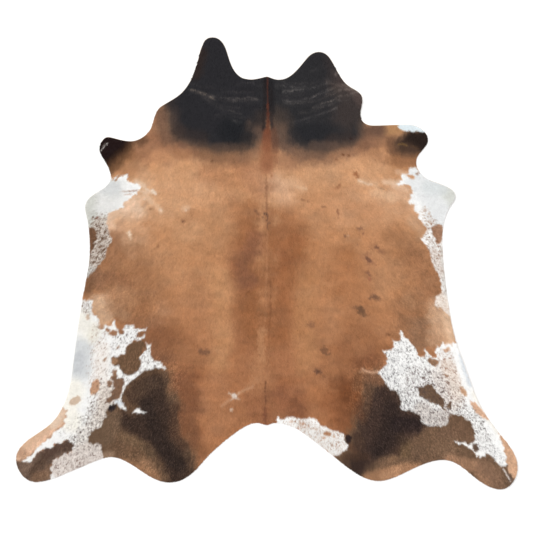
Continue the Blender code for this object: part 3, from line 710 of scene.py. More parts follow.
# the pale star, streaks and blots
PALE_MARKS = (
    Tone("star", ((-15.2, -60.8), (-14.6, -61.4)), 0.7, 0.7, (226, 214, 204), 0.95),
    Tone("star arm a", ((-17.4, -59.6), (-12.6, -62.6)), 0.12, 0.4, (216, 196, 180), 0.8),
    Tone("star arm b", ((-12.6, -59.6), (-16.6, -63)), 0.12, 0.4, (216, 196, 180), 0.7),
    Tone("star streak a", ((-13.4, -60.2), (-10, -58.2), (-6.4, -56.8)), 0.2, 0.9, (196, 150, 116), 0.7),
    Tone("star streak b", ((-16.6, -62.4), (-18.6, -64), (-20.6, -65.6)), 0.2, 0.9, (194, 146, 112), 0.7),
    Tone("star dot", ((-16.2, -67.4),), 0.4, 0.6, (214, 188, 168), 0.85),
    Tone("streak right shoulder", ((42.4, 38), (44, 37.4)), 0.2, 0.7, (238, 220, 202), 0.9),
    Tone("streak right shoulder b", ((44.6, 37.2), (46, 36.4), (48.4, 36.2)), 0.12, 0.7, (236, 214, 194),
        0.85),
    Tone("streak right shoulder halo", ((43, 37.4), (50, 36.4)), 0.6, 1.8, (214, 174, 140), 0.6),
    Tone("streak right withers", ((14, 35.2), (16, 34.6), (18, 34.2)), 0.2, 0.9, (226, 190, 158), 0.75),
    Tone("pale blot right", ((12, 37.5), (16, 35)), 1, 3, (212, 168, 132), 0.6),
    Tone("dot left", ((-52.6, 33.4), (-51.8, 32.4)), 0.3, 0.9, (238, 218, 198), 0.95),
    Tone("blot left a", ((-56, 31.6), (-53, 28)), 0.4, 2.0, (228, 194, 164), 0.7),
    Tone("blot left a low", ((-50.6, 26.6), (-48.6, 24)), 0.3, 1.6, (226, 190, 158), 0.65),
    Tone("blot left fleck a", ((-51.4, 32.6), (-51, 31.8)), 0.15, 0.6, (238, 222, 206), 0.9),
    Tone("blot left fleck b", ((-56.2, 29.4),), 0.15, 0.6, (236, 214, 194), 0.8),
    Tone("blot left fleck c", ((-49.2, 24.8), (-48.4, 24.2)), 0.15, 0.6, (232, 206, 184), 0.8),
    Tone("blot left fleck d", ((-54, 33.4), (-55.6, 34.2)), 0.1, 0.7, (236, 214, 192), 0.8),
    Tone("blot left b", ((-38, 25), (-36.4, 25.4)), 0.5, 1.6, (224, 184, 152), 0.7),
    Tone("blot left b dot", ((-37.2, 24.4),), 0.15, 0.7, (232, 204, 180), 0.7),
    Tone("blot left c", ((-63.2, 14.6), (-63, 12.6)), 0.12, 0.7, (240, 220, 198), 0.9),
    Tone("blot left c low", ((-62.8, 12.4), (-62.4, 11.2)), 0.1, 0.8, (226, 196, 166), 0.7),
    Tone("blot left c arm", ((-64.6, 14), (-62, 13.2)), 0.05, 0.5, (232, 206, 180), 0.7),
    Tone("blot left d", ((-60, 37.4), (-56.6, 35.4)), 0.4, 1.8, (234, 208, 182), 0.65),
    Tone("blot left e", ((-62, 30.8), (-58, 30.2)), 0.4, 2.0, (230, 198, 170), 0.5),
    Tone("blot left f", ((-58.6, 33.2), (-52.6, 32.4)), 0.15, 1.0, (232, 204, 178), 0.6),
    Tone("tail of right flank", ((51, -50), (48.6, -50.4), (46.4, -49.8), (44, -48.6)),
        0.15, 0.9, (196, 156, 128), 0.75),
    Tone("tail of right flank fork", ((46, -49.8), (43, -50)), 0.1, 0.9, (184, 142, 112), 0.6),
    Tone("right fuzzy", ((54, 37.4), (60.4, 37.2)), 0.4, 1.8, (230, 200, 174), 0.6),
    Tone("right fuzzy low", ((58, 35.6), (64.6, 33.8)), 0.3, 1.6, (226, 192, 164), 0.6),
    Tone("right fuzzy upper", ((60, 42), (64, 41.4)), 0.3, 1.6, (224, 186, 156), 0.6),
    Tone("right shoulder peach", ((50, 33), (58, 30)), 0.6, 3, (222, 184, 150), 0.5),
    Tone("right shoulder fuzz b", ((62, 33), (60, 31)), 0.5, 2.0, (212, 168, 134), 0.5),
)

# outlines of the white patches
WHITE = (
    ("left shoulder", ((-73, 42), (-71.4, 38.6), (-70.2, 39.6), (-68, 40.3), (-65.8, 40.2), (-64.1, 40.6),
        (-63.8, 38.4), (-63, 37.1), (-60.2, 36.8), (-58.4, 36), (-57.8, 34.7), (-59.2, 33.4),
        (-59.6, 31.6), (-62.4, 30.6), (-63.6, 29), (-65.6, 28), (-66, 25.8), (-68.4, 25), (-71, 24),
        (-72.6, 22.4), (-73.4, 20), (-73.4, 17.4), (-72.8, 14.6), (-71.8, 12.4), (-71, 11), (-71.6, 9.4),
        (-73, 7.4), (-73.6, 5), (-74.4, 2.6), (-76.4, 0), (-78.6, -2.4), (-80.6, -4.4), (-82.4, -6.6),
        (-90, -7), (-90, 40))),
    ("left flank and leg", ((-92, -17.4), (-85, -16.8), (-82.4, -17), (-80, -16.6), (-80, -19),
        (-80.6, -21), (-80, -23.6), (-78.2, -24), (-77, -25.4), (-76.8, -28), (-75.2, -29.4), (-73.8, -28),
        (-72.6, -29.4), (-71.4, -28.2), (-70.3, -26), (-69.8, -28), (-68.6, -30.4), (-67, -31.6),
        (-65.8, -30), (-64.8, -28.2), (-63, -28.8), (-61.4, -28.2), (-60.8, -29.8), (-58.6, -30.4),
        (-56.6, -30.2), (-54.4, -29.8), (-55.6, -31.4), (-56, -34), (-57.6, -35.6), (-60, -35.2),
        (-62, -36.2), (-64, -37.4), (-65, -39.4), (-65.2, -41.4), (-67.4, -42), (-68.4, -43.2),
        (-70.4, -43), (-71.4, -44.4), (-71, -46), (-69.4, -47.4), (-68, -46.8), (-67.2, -49), (-66, -51),
        (-63.6, -51.6), (-61, -50.6), (-58.6, -48.6), (-57.4, -46.2), (-58.2, -43.8), (-57.6, -42),
        (-56.6, -40.6), (-55.4, -38.8), (-55.6, -36.6), (-54.2, -37.4), (-52.8, -37), (-53.6, -39.6),
        (-53.2, -43.4), (-51.6, -44.8), (-49.8, -45), (-48, -46), (-47.2, -47.6), (-46.6, -48.6),
        (-49, -48.4), (-50.4, -48), (-53, -48.6), (-56, -49.4), (-59, -51.4), (-61.4, -53.4),
        (-63.4, -54.8), (-65, -57), (-66.2, -60.2), (-66.8, -62.4), (-66, -64.4), (-65, -66),
        (-64.6, -67.4), (-66.2, -66.4), (-67.8, -65.8), (-68.8, -64.8), (-70.4, -64.4), (-73.4, -66.4),
        (-74.2, -68), (-74, -70.4), (-75.6, -72.6), (-75.4, -74.6), (-77.4, -75.6), (-79.4, -76.2),
        (-81, -78), (-82, -80.4), (-82.2, -82.2), (-80.4, -83), (-78, -83), (-76, -83.8), (-75.8, -86),
        (-75.2, -88), (-75.8, -92), (-90, -105), (-101, -104), (-99.6, -98.8), (-98.6, -97), (-99.6, -94),
        (-98.6, -92.4), (-98.2, -90.4), (-94.6, -88.8), (-91.6, -87.2), (-88.8, -85.2), (-88.4, -83.6),
        (-89.4, -82.2), (-91.4, -80.8), (-93, -82), (-94.6, -83), (-96, -82.6), (-97.4, -83.6),
        (-98.2, -84.8), (-101.4, -84.6), (-103.2, -86.4), (-105.4, -87), (-106.6, -89.4), (-108.2, -91),
        (-110, -91.6), (-112.4, -91), (-110.4, -89.6), (-108.4, -88.4), (-106.8, -86.2), (-104.8, -84.4),
        (-103.2, -82.8), (-101.2, -81.4), (-99.8, -79.8), (-97.8, -78.4), (-96.6, -76.4), (-94.6, -75.4),
        (-92.6, -73.8), (-93.6, -72.4), (-92, -70.8), (-92.6, -69.2), (-91.8, -67.6), (-93.4, -66.4),
        (-97, -66), (-97, -40))),
    ("left streak", ((-62.2, -68.8), (-60.6, -68), (-60, -67), (-58.8, -66.4), (-58, -66.8), (-57.4, -68),
        (-55, -68.8), (-57.4, -69.3), (-60, -69.2))),
    ("right shoulder", ((72, 41), (69.4, 43), (67.8, 44.4), (66, 43.8), (65.4, 42.4), (64.4, 41.2),
        (62.4, 41), (61.8, 39.6), (62.8, 38.2), (60.4, 37.4), (59, 36.2), (61.8, 35.8), (64.4, 36.4),
        (66.4, 35.4), (67.2, 32.6), (66, 31), (66.2, 29.4), (65, 28), (66.4, 27), (68.2, 27), (68, 25.6),
        (67.6, 24.2), (69.6, 23), (70, 20.8), (71.2, 19.8), (72.4, 18.2), (73.2, 16.4), (73.6, 14.6),
        (72.4, 12.6), (70.6, 11.4), (72.2, 9.4), (73.6, 7.8), (74.6, 5.4), (75, 2.8), (75.8, 0.4),
        (77, -2.2), (78.4, -4.6), (79.4, -6.6), (80.2, -9.6), (80.4, -12.4), (79.8, -14.6), (78.2, -15.2),
        (78, -17), (76.8, -18.6), (78.2, -20.2), (80, -20), (81.2, -21.4), (82.4, -23), (86, -26),
        (96, -20), (96, 42))),
    ("right flank and leg", ((51, -50), (53, -48.2), (54.8, -47), (55.4, -44.6), (55, -42), (53, -39.8),
        (55.2, -40.2), (57, -39.8), (58.2, -38.4), (58.4, -36.6), (57.6, -35), (60.4, -36), (61.6, -34.8),
        (61.2, -32.8), (61.8, -30.8), (63, -33), (64.2, -34.4), (65.6, -35.2), (66.2, -37), (68, -38.6),
        (68.8, -40.6), (69.8, -42.2), (71.2, -43.2), (72.6, -43), (73, -41.2), (72.6, -39.2), (74, -41),
        (74.8, -42.6), (76.6, -43.2), (78.4, -43), (78.2, -41.4), (77.2, -40.4), (78, -38), (79.4, -38.8),
        (80.6, -37.4), (81.4, -36.4), (82, -37.8), (83.6, -36.6), (85, -37.6), (86.2, -36.4), (88, -38),
        (100, -45), (125, -85), (119, -96), (110.4, -92.6), (108.8, -93.6), (107.4, -93.4), (106.2, -92),
        (105, -90.4), (103.6, -89.2), (102.2, -87.6), (101, -87.8), (100.4, -89), (99.4, -88.6),
        (98.4, -89.6), (97.4, -88.6), (96.4, -89), (95.6, -87.4), (94.2, -86.2), (92.6, -84.6),
        (90.4, -83.4), (87.8, -83.4), (86, -82), (88.2, -82.4), (91.4, -82.2), (93, -83.4), (94.4, -82.8),
        (95.6, -82.2), (96.2, -80.8), (95.4, -78.4), (95, -76.2), (94.6, -74.4), (93.4, -72.6),
        (91.6, -71.4), (89.8, -70.4), (87.4, -69.8), (86, -69), (84.4, -70), (83.4, -71.2), (83, -73),
        (82.2, -74.8), (79.6, -74.8), (77.4, -75.2), (75, -75.4), (73.4, -74.4), (71.8, -74.2),
        (70.8, -72.4), (71, -71), (70, -69.6), (68, -69), (66.4, -67.6), (64, -68), (62, -67.2),
        (61.2, -65.6), (61.8, -64), (61.6, -62.2), (60.4, -60.4), (59.4, -58.8), (57, -58), (55.6, -56.4),
        (54.4, -54.6), (53, -52.8), (51.8, -51.4))),
    ("rump", ((3.6, -76), (4.4, -73), (4.8, -70.6), (6.2, -71.4), (8.4, -71.6), (10.4, -70.4), (12, -70.8),
        (14, -71.4), (17, -71.2), (20, -71.4), (22.6, -71.2), (23.6, -72.8), (24.6, -74.4), (27, -75.4),
        (30, -76.8), (33, -77.6), (35.4, -78.4), (35.4, -80.2), (36.2, -82), (37.4, -84), (36.8, -85.6),
        (35.4, -87), (33, -87.8), (30, -89.6), (20, -86))),
    ("right tab edge", ((60.3, 67), (60.5, 63.8), (60.6, 62.6), (61.2, 61.5), (62.8, 60.8), (66.4, 60.3),
        (70, 60.4), (73.4, 60.2), (76, 66))),
)

# coloured islands within and beside the white
ISLANDS = (
    ("left elbow edge", ((-84, 17), (-80, 16.4), (-78.2, 14.8), (-78, 12.4), (-79, 10.2), (-80, 9.3),
        (-79, 8), (-79.8, 6.2), (-81.4, 4.6), (-84, 4)), (122, 88, 66)),
    ("right girth edge", ((75.6, 17.2), (77, 16.9), (78, 17.9), (80.4, 17.4), (81.4, 14), (80.4, 12),
        (80.4, 9.2), (79, 8.8), (77.8, 10), (77, 11.4), (76.2, 13.4), (75.7, 15.4)), (160, 122, 98)),
    ("left haunch island", ((-65, -39.2), (-64, -37.4), (-62, -36.4), (-59.6, -35.9), (-57.6, -35.6),
        (-56.4, -36.4), (-56, -38), (-57.4, -39.6), (-57.4, -41.6), (-58.4, -43), (-57.8, -46),
        (-58.6, -48), (-60.6, -50), (-63, -51), (-65.4, -50.6), (-66.8, -49), (-67.4, -47.2),
        (-69.6, -47.6), (-70.8, -46.4), (-71.4, -44.4), (-70.4, -43), (-68.4, -43), (-67, -42),
        (-65.4, -41.8)), (106, 80, 60)),
    ("left haunch band", ((-65.8, -53), (-65.3, -55), (-66.2, -57.4), (-67, -60), (-67.7, -62),
        (-69.2, -62.5), (-70.6, -63.2), (-72.4, -64.4), (-74.2, -64.2), (-73.2, -62.4), (-72.2, -61.4),
        (-71.4, -60), (-71, -58), (-70.2, -56.2), (-70.6, -54), (-71.4, -52.6), (-70.8, -50.4),
        (-69.6, -49.8), (-68.8, -51), (-68.8, -52.6), (-67, -52.6)), (124, 94, 74)),
    ("right haunch island", ((69.4, -58.4), (70.4, -57), (73, -56.4), (75.6, -55.6), (77, -57),
        (78.6, -59), (79.6, -61), (81.2, -62.6), (82, -64), (81.6, -65.6), (82.4, -67.6), (81.4, -67.6),
        (80, -66), (78, -65), (75, -63.4), (72.4, -62.2), (70.4, -61.4), (69.8, -59.8)), (108, 85, 67)),
    ("right haunch islet", ((82.8, -64.2), (84.4, -64.1), (85.6, -65.6), (84.8, -66.9), (83, -66.6)),
        (120, 96, 78)),
    ("right stifle island", ((74, -43.6), (75.6, -44), (77.2, -44), (78.8, -45.4), (79.1, -46.8),
        (77.6, -47.9), (75.6, -47.1), (74.2, -45.6)), (150, 114, 88)),
    ("tan strip right thigh", ((93.4, -62.6), (95.4, -63.8), (98, -66.4), (100.4, -68.8), (103.4, -72.6),
        (101, -72), (98.4, -70.6), (96.4, -69), (95, -67.2), (94, -65)), (212, 172, 144)),
    ("tan strip right hock", ((106.2, -77.8), (109, -80.2), (114, -84), (121, -92), (118, -102),
        (113.4, -99), (111.6, -96), (110.4, -93), (109.6, -91.4), (110, -89), (109.2, -86), (109, -84),
        (107.6, -82), (107, -80)), (200, 160, 130)),
)

# small spots, turned by their heading in degrees
SPOTS = (
    Spot("left hock spot", -88.2, -63.2, 3.0, 1.8, 38, (214, 190, 168)),
    Spot("left thigh spot", -79, -57.2, 3.9, 2.0, 66, (200, 156, 124)),
    Spot("left belly spot", -82.2, -24.6, 1.6, 0.7, 80, (206, 180, 158)),
    Spot("left flank spot a", -76, -29.2, 1.5, 1.2, 20, (188, 146, 116)),
    Spot("left flank lobe a", -70.6, -32.2, 1.9, 1.3, 20, (160, 116, 86)),
    Spot("left flank lobe b", -73, -30.8, 0.9, 1.0, 60, (160, 116, 86)),
    Spot("left flank lobe c", -67, -31.4, 1.0, 1.4, 0, (152, 108, 78)),
    Spot("left arm spot", -57.8, -32.8, 2.2, 1.1, 28, (146, 102, 72)),
    Spot("left arm spot b", -55.2, -32.0, 1.1, 0.8, 20, (146, 102, 72)),
    Spot("left arm spot c", -56, -39.4, 1.0, 0.8, 30, (132, 98, 74)),
    Spot("left speck a", -72.2, -55.4, 1.8, 1.3, 70, (152, 116, 92)),
    Spot("left speck b", -70.2, -50.6, 1.7, 1.0, 70, (150, 114, 90)),
    Spot("left speck c", -68.4, -38.4, 0.9, 0.5, 30, (150, 112, 86)),
    Spot("left speck d", -74.6, -44.2, 0.9, 0.5, 60, (170, 132, 104)),
    Spot("left shoulder fleck a", -69.5, 38.4, 0.9, 0.6, 40, (168, 120, 86)),
    Spot("left shoulder fleck b", -67.9, 39.8, 0.9, 0.4, 30, (176, 128, 94)),
    Spot("right shoulder fleck", 69.5, 41.4, 0.9, 0.4, 10, (150, 112, 88)),
    Spot("right shoulder island", 66, 39.9, 2.2, 0.7, -12, (208, 158, 120)),
    Spot("right stifle spot", 82.8, -40, 1.4, 1.0, 40, (212, 172, 142)),
    Spot("right thigh spot", 90.4, -58.8, 2.5, 0.9, -58, (206, 166, 134)),
    Spot("right fleck a", 72.2, -52.4, 1.0, 0.5, 0, (92, 70, 62)),
    Spot("right fleck b", 81, -59, 0.8, 0.6, 30, (78, 58, 54)),
    Spot("right fleck c", 82.4, -51.4, 1.0, 0.5, 30, (158, 118, 90)),
    Spot("right fleck d", 68.8, -57.1, 1.0, 0.4, -20, (70, 56, 50)),
    Spot("right shank spot", 96, -85.2, 2.2, 1.3, -62, (98, 78, 64)),
    Spot("rump spot a", 28, -78.2, 1.8, 1.0, 0, (174, 126, 92)),
    Spot("rump spot b", 31.3, -79.6, 0.6, 0.6, 0, (196, 154, 122)),
    Spot("rump spot c", 26.2, -80.2, 0.7, 0.6, 0, (196, 152, 122)),
    Spot("rump spot d", 16.6, -74, 1.4, 0.5, 0, (184, 142, 116)),
    Spot("rump spot e", 17.6, -75.6, 0.7, 0.4, 0, (190, 150, 126)),
    Spot("rump fleck a", 11.4, -73, 0.9, 0.4, -10, (206, 170, 146)),
    Spot("rump fleck b", 14.4, -75.6, 0.6, 0.4, 20, (176, 128, 106)),
    Spot("rump fleck c", 22.4, -76.6, 0.8, 0.4, 0, (204, 172, 150)),
    Spot("rump fleck d", 33.4, -82, 0.6, 0.4, 40, (150, 126, 112)),
    Spot("rump fleck e", 30.4, -83.6, 0.5, 0.4, 0, (176, 146, 126)),
    Spot("rump dark spot", 37.6, -80.8, 2.0, 1.4, -70, (52, 40, 38)),
    Spot("left elbow fleck a", -78.2, 21, 0.7, 0.45, 20, (146, 106, 90)),
    Spot("left elbow fleck b", -76.4, 16, 0.9, 0.4, 70, (116, 88, 68)),
    Spot("left elbow fleck c", -74.6, 14.4, 0.9, 0.4, 60, (120, 92, 72)),
    Spot("left elbow fleck d", -76, 10.8, 1.4, 0.55, 66, (104, 78, 60)),
    Spot("left elbow fleck e", -73.8, 11.8, 0.9, 0.4, 70, (124, 94, 74)),
    Spot("left elbow fleck f", -76.9, 7.4, 1.2, 0.5, 60, (108, 82, 64)),
    Spot("left elbow fleck g", -74.8, 6.2, 1.1, 0.45, 66, (116, 88, 70)),
    Spot("left elbow fleck h", -75.4, 3.4, 0.9, 0.4, 60, (116, 88, 70)),
    Spot("left elbow fleck i", -78.4, 3, 1.2, 0.45, 58, (108, 82, 64)),
    Spot("left elbow fleck j", -79.6, 0.4, 1.0, 0.4, 56, (112, 86, 68)),
    Spot("left elbow fleck k", -77.2, 0.2, 0.8, 0.35, 56, (120, 92, 74)),
    Spot("left black spot", -71.2, -66.4, 2.0, 1.5, 35, (38, 33, 36)),
    Spot("left island lobe", -70, -45, 1.6, 1.3, 30, (150, 114, 86)),
)

# warmer and cooler places in the white, painted shade on the white hair along the hide's rim, and fine
# lines on the left shoulder
WHITE_TONES = (
    Tone("line on left shoulder", ((-67.4, 33), (-63, 33.1), (-59.6, 33.4)), 0.12, 0.35, (160, 122, 104),
        0.85),
    Tone("short line on left shoulder", ((-65.6, 31.5), (-62.2, 31.8)), 0.08, 0.3, (190, 156, 136), 0.7),
    Tone("faint line on left shoulder", ((-79, 27.4), (-72, 26.2)), 0.1, 0.4, (220, 206, 202), 0.7),
    Tone("faint line above it", ((-78, 30), (-71, 28.8)), 0.1, 0.4, (222, 210, 206), 0.6),
    Tone("left shoulder all", ((-72, 33), (-76, 26), (-79, 20)), 4, 5, (232, 231, 228), 0.9),
    Tone("right shoulder all", ((70, 38), (78, 32), (80, 24)), 4, 5, (229, 230, 230), 0.9),
    # painted shade: the white hair greyed and cooled where the left belly's rim curls away
    Tone("painted shade on the left belly rim", ((-85, -39), (-86, -49)), 2.2, 6, (214, 216, 217), 0.85),
    Tone("darkest painted shade at the left belly", ((-86, -43), (-86.6, -48)), 0.8, 3, (203, 205, 208), 0.7),
    Tone("cream left belly top", ((-85, -26), (-82, -31)), 2, 5, (240, 236, 226), 0.8),
    Tone("cream left belly", ((-79, -30), (-80, -34)), 1, 4, (240, 235, 222), 0.6),
    Tone("cream left thigh", ((-89, -58), (-92, -66), (-90, -72)), 2.4, 5, (249, 245, 235), 0.9),
    # painted shade: the white hair greyed at the left foreleg tip
    Tone("painted shade at the left leg tip", ((-82, 30), (-83, 24), (-81, 18)), 1.5, 5, (208, 208, 200), 0.8),
    Tone("grey left shoulder", ((-74, 35), (-71, 35)), 1, 5, (212, 214, 214), 0.6),
    # painted shade: the white hair greyed along the left elbow's rim
    Tone("painted shade on the left elbow rim", ((-80, 2), (-83, -5)), 2, 5, (196, 194, 188), 0.7),
    Tone("brown left elbow", ((-75.4, 16), (-75.6, 10), (-77.6, 3)), 3, 4, (222, 211, 200), 0.9),
    Tone("pink left thigh", ((-74, -58), (-74.6, -66), (-77, -72)), 1.5, 4, (236, 226, 216), 0.9),
    Tone("pink left thigh low", ((-79, -75), (-84, -82)), 2, 4, (240, 234, 227), 0.8),
    Tone("pink left flank", ((-76, -40), (-76, -54)), 1.5, 4, (244, 237, 230), 0.7),
    Tone("pink right flank", ((80, -51), (83, -58), (84.6, -64)), 2.5, 4, (240, 233, 227), 0.9),
    Tone("pale right notch", ((79, -16), (84, -23)), 2, 3, (238, 226, 215), 0.9),
    Tone("pink right flank outer", ((83, -46), (86, -54), (88, -60)), 1.2, 3, (238, 226, 215), 0.8),
    Tone("grey right thigh", ((72, -68), (76, -71), (81, -71)), 2.5, 3.5, (224, 216, 210), 0.9),
    Tone("pink left leg", ((-94, -94), (-86, -90), (-79, -88)), 4, 4, (224, 213, 205), 0.85),
    Tone("blue junction", ((-69, -63.8), (-67, -64.6)), 0.4, 1.2, (204, 210, 218), 0.6),
    # painted shade: the white hair greyed at the right foreleg tip
    Tone("painted shade at the right leg tip", ((84, 32), (86, 30)), 1.5, 5, (212, 213, 206), 0.9),
    Tone("painted shade behind the right leg tip", ((74, 35), (80, 34)), 1, 4, (216, 220, 220), 0.7),
    # painted shade: the white hair greyed along the right girth's rim
    Tone("painted shade on the right girth rim", ((81.5, 6), (82.4, -8), (83, -13)), 0.5, 2.4, (200, 194, 187), 0.65),
    Tone("pink right girth", ((77, 4), (79, -4)), 1, 3, (222, 208, 198), 0.6),
    # painted shade: the white hair greyed and cooled where the right belly's rim curls away
    Tone("painted shade on the right belly rim", ((89.6, -42), (91.4, -48), (93.8, -55)), 0.6, 1.8, (216, 221, 226), 0.85),
    Tone("cream right thigh", ((96, -60), (102, -70), (107, -77)), 0.5, 2.4, (244, 238, 226), 0.7),
    Tone("cool rump", ((16, -75), (26, -81), (32, -86)), 1.5, 5, (232, 229, 225), 0.8),
    # painted shade: the white hair cooled along the right tab's rim
    Tone("painted shade on the right tab rim", ((62, 62), (72, 62)), 2, 3, (224, 234, 238), 0.95),
)

# white hair where no tone lies on it
PLAIN_WHITE = (247, 246, 244)

# where dark hairs stand in the white, their colour and how thick they stand
TICK_ZONES = (
    Tone("left flank top", ((-83.4, -17.6), (-82, -21)), 1.4, 3, (120, 96, 80), 1.1),
    Tone("left flank outer", ((-76, -30), (-77, -42), (-78, -52), (-76, -60)), 2.5, 3, (146, 112, 92), 0.5),
    Tone("left flank", ((-66, -33), (-69, -40), (-70, -48), (-72, -56)), 3, 3, (104, 90, 84), 0.40),
    Tone("left flank arm", ((-62, -31), (-57, -36), (-52, -45), (-57, -49), (-63, -53)),
        3, 4, (96, 82, 76), 0.6),
    Tone("left thigh", ((-74, -60), (-77, -68), (-79, -74)), 3.0, 5, (96, 78, 68), 1.0),
    Tone("left thigh low", ((-79, -76), (-84, -82)), 4, 5, (86, 74, 68), 1.1),
    Tone("left thigh outer", ((-86, -74), (-91, -80)), 2, 4, (112, 98, 92), 0.4),
    Tone("left leg pink", ((-93, -93), (-85, -89), (-79, -87)), 5, 3, (112, 88, 78), 0.7),
    Tone("left elbow", ((-75, 18), (-76, 10), (-79, 2), (-82, -4)), 4, 3, (92, 66, 50), 1.3),
    Tone("left shoulder low", ((-78, 22), (-80, 19)), 1, 3, (116, 92, 76), 0.5),
    Tone("right shoulder", ((74, 18), (76, 10), (77, 4)), 2.6, 2.4, (134, 96, 72), 1.0),
    Tone("right shoulder low", ((78, 0), (81, -12)), 2.6, 2.4, (132, 102, 86), 0.6),
    Tone("right flank inner", ((55, -46), (61, -52), (65, -60), (72, -70)), 6, 5, (84, 80, 82), 0.72),
    Tone("right haunch edge", ((62, -60), (67, -65), (76, -71)), 2.4, 2.6, (70, 62, 60), 1.2),
    Tone("right flank top", ((60, -38), (66, -42), (74, -48)), 3, 4, (94, 86, 84), 0.5),
    Tone("right flank mid", ((70, -54), (78, -58), (84, -66)), 6, 4, (78, 58, 52), 1.05),
    Tone("right flank low", ((72, -68), (78, -71), (84, -68)), 3, 3, (74, 60, 56), 1.3),
    Tone("right flank outer", ((82, -43), (85, -54), (88, -63)), 2.4, 2.4, (140, 96, 72), 0.85),
    Tone("right leg", ((91, -68), (96, -75), (100, -82)), 3, 3, (90, 80, 76), 0.8),
    Tone("right leg low", ((102, -84), (106, -91)), 2.4, 3, (92, 88, 90), 0.6),
    Tone("rump", ((14, -74), (26, -79), (33, -84)), 4, 5, (168, 132, 110), 0.7),
    Tone("right notch", ((79, -16), (83, -22)), 2, 2, (182, 148, 124), 0.55),
    Tone("right shoulder flecks", ((72.6, 24), (74.4, 19)), 1.4, 2, (170, 128, 98), 0.8),
)

# clumps of dark hairs: how far apart in cm, seed, least and most half width, how many and how dark
TICK_SIZES = (
    (1.25, 131, 0.12, 0.34, 0.8, 1.0),
    (0.80, 151, 0.08, 0.25, 1.0, 0.8),
    (0.52, 171, 0.05, 0.19, 1.2, 0.5),
)
TICK_STRETCH = 1.15

# where paler hairs are mixed into the dark
GRIZZLE = (
    Tone("left haunch", ((-56, -56), (-56, -80), (-50, -92)), 12, 10, (0, 0, 0), 1.0),
    Tone("right haunch", ((54, -60), (60, -80), (76, -84)), 12, 10, (0, 0, 0), 1.0),
    Tone("left flank", ((-76, -8), (-60, -20)), 8, 10, (0, 0, 0), 0.35),
    Tone("right flank", ((72, 0), (70, -28)), 8, 10, (0, 0, 0), 0.35),
    Tone("left foot", ((-110, -97), (-92, -84)), 7, 4, (0, 0, 0), 0.8),
    Tone("right foot", ((92, -86), (100, -95), (110, -100)), 7, 4, (0, 0, 0), 0.8),
)


# ---------------------------------------------------------------- painting the coat
# In the calls of noise and rough the numbers are the size in cm, the seed and the octaves.
PAINT_PITCH = 0.2
PAINT_MARGIN = 1.5
UNPAINTED = 150.0
SOFT_EDGE = 0.25
ISLAND_EDGE = 0.3
OUTLINE_MARGIN = 3
SPOT_MARGIN = 6
ISLAND_GRIZZLE = 0.6
NOT_WHITE = -99.0

# Where the tan turns from ribs to shoulders and to rump, and the streaks to slanting, in cm
SHOULDER_RISE = (-5, 45)
RUMP_RISE = (-60, -5)
SLANT_RISE = (25, 60)
# Slanting coordinates are shrunk by this much; left and right take theirs from apart, in cm
SLANT_SCALE = 0.7
SIDES_APART = 50.0
# How much clouds, streaks and fine streaks lighten the tan, and grain the coat and the grizzle
CLOUD_SHARE = 0.045
STREAK_SHARE = 0.07
FINE_SHARE = 0.025
GRAIN_SHARE = 0.018
GRIZZLE_GRAIN = 0.05
WHITE_GRAIN = 0.02
ISLAND_GRAIN = 0.08
# Ticks: how far they wander and how soft their edge is, in cm, and how crowds and sizes vary
TICK_WANDER = 0.3
TICK_EDGE = 0.10
CROWD = (0.45, 1.1)
TICK_GROWTH = (0.75, 0.45)
TICK_DARKNESS = (0.45, 0.55)
# Factors that draw a second and a third number from a fleck's own one
SECOND = 7.31
THIRD = 13.7


def blend(colour, target, share):
    """The colour moved towards another by a share of the way, place by place."""
    return colour + (np.array(target, float) - colour) * share[:, None]


def weight_of(x, y, tone, wobble=None):
    """How strongly a tone counts at each place; the wobble bends its faded edge."""
    weight = np.zeros(np.shape(x))
    near = near_box(x, y, tone.path, tone.core + tone.fade + 1)
    distance = path_distance(x[near], y[near], tone.path)
    if wobble is not None:
        distance = distance + wobble[near] * tone.fade
    weight[near] = 1 - ramp(tone.core, tone.core + tone.fade, distance)
    return weight * tone.strength


def lay(colour, x, y, tones, wobble):
    """Lays each tone's colour over what is there, in the order of its table."""
    for tone in tones:
        colour = blend(colour, tone.colour, weight_of(x, y, tone, wobble))
    return colour


def lay_zones(colour, x, y, zones, ragged):
    """Lays each zone's colour over what is there, its edge as soft and ragged as it says."""
    for zone in zones:
        near = near_box(x, y, zone.outline, zone.soft + 1)
        depth = depth_inside(x[near], y[near], zone.outline) + ragged[near] * zone.soft
        share = zone.strength * ramp(-zone.soft, zone.soft, depth)
        colour[near] = blend(colour[near], zone.colour, share)
    return colour


def lay_creases(colour, x, y):
    """Fine broken lines where the neck's skin wrinkles, each with fainter ones beside it."""
    for run, (shift, share) in enumerate(CREASE_LINES):
        bent = 0.45 * noise(x, y, 2.2, 141 + run) + 0.14 * noise(x, y, 0.8, 145 + run)
        broken = 0.4 + 0.6 * ramp(-0.5, 0.4, noise(x, y * 0.5, 1.6, 151 + run))
        broken = broken * (0.55 + 0.45 * ramp(-0.6, 0.4, noise(x, y, 4.5, 155 + run)))
        for crease in CREASES:
            colour = blend(colour, crease.colour, share * broken * weight_of(x, y + bent + shift, crease))
    return colour


def tick_shares(x, y):
    """How thick the dark ticks stand at each place, and the colour they have there."""
    wobble = 0.3 * rough(x, y, 6, 87) + 0.2 * rough(x, y, 2.0, 89, 2)
    share = np.zeros(len(x))
    total = np.full(len(x), 1e-6)
    tint = np.zeros((len(x), 3))
    for zone in TICK_ZONES:
        weight = weight_of(x, y, zone, wobble)
        share = np.maximum(share, weight)
        total = total + weight
        tint = tint + np.array(zone.colour, float) * weight[:, None]
    return share, tint / total[:, None]


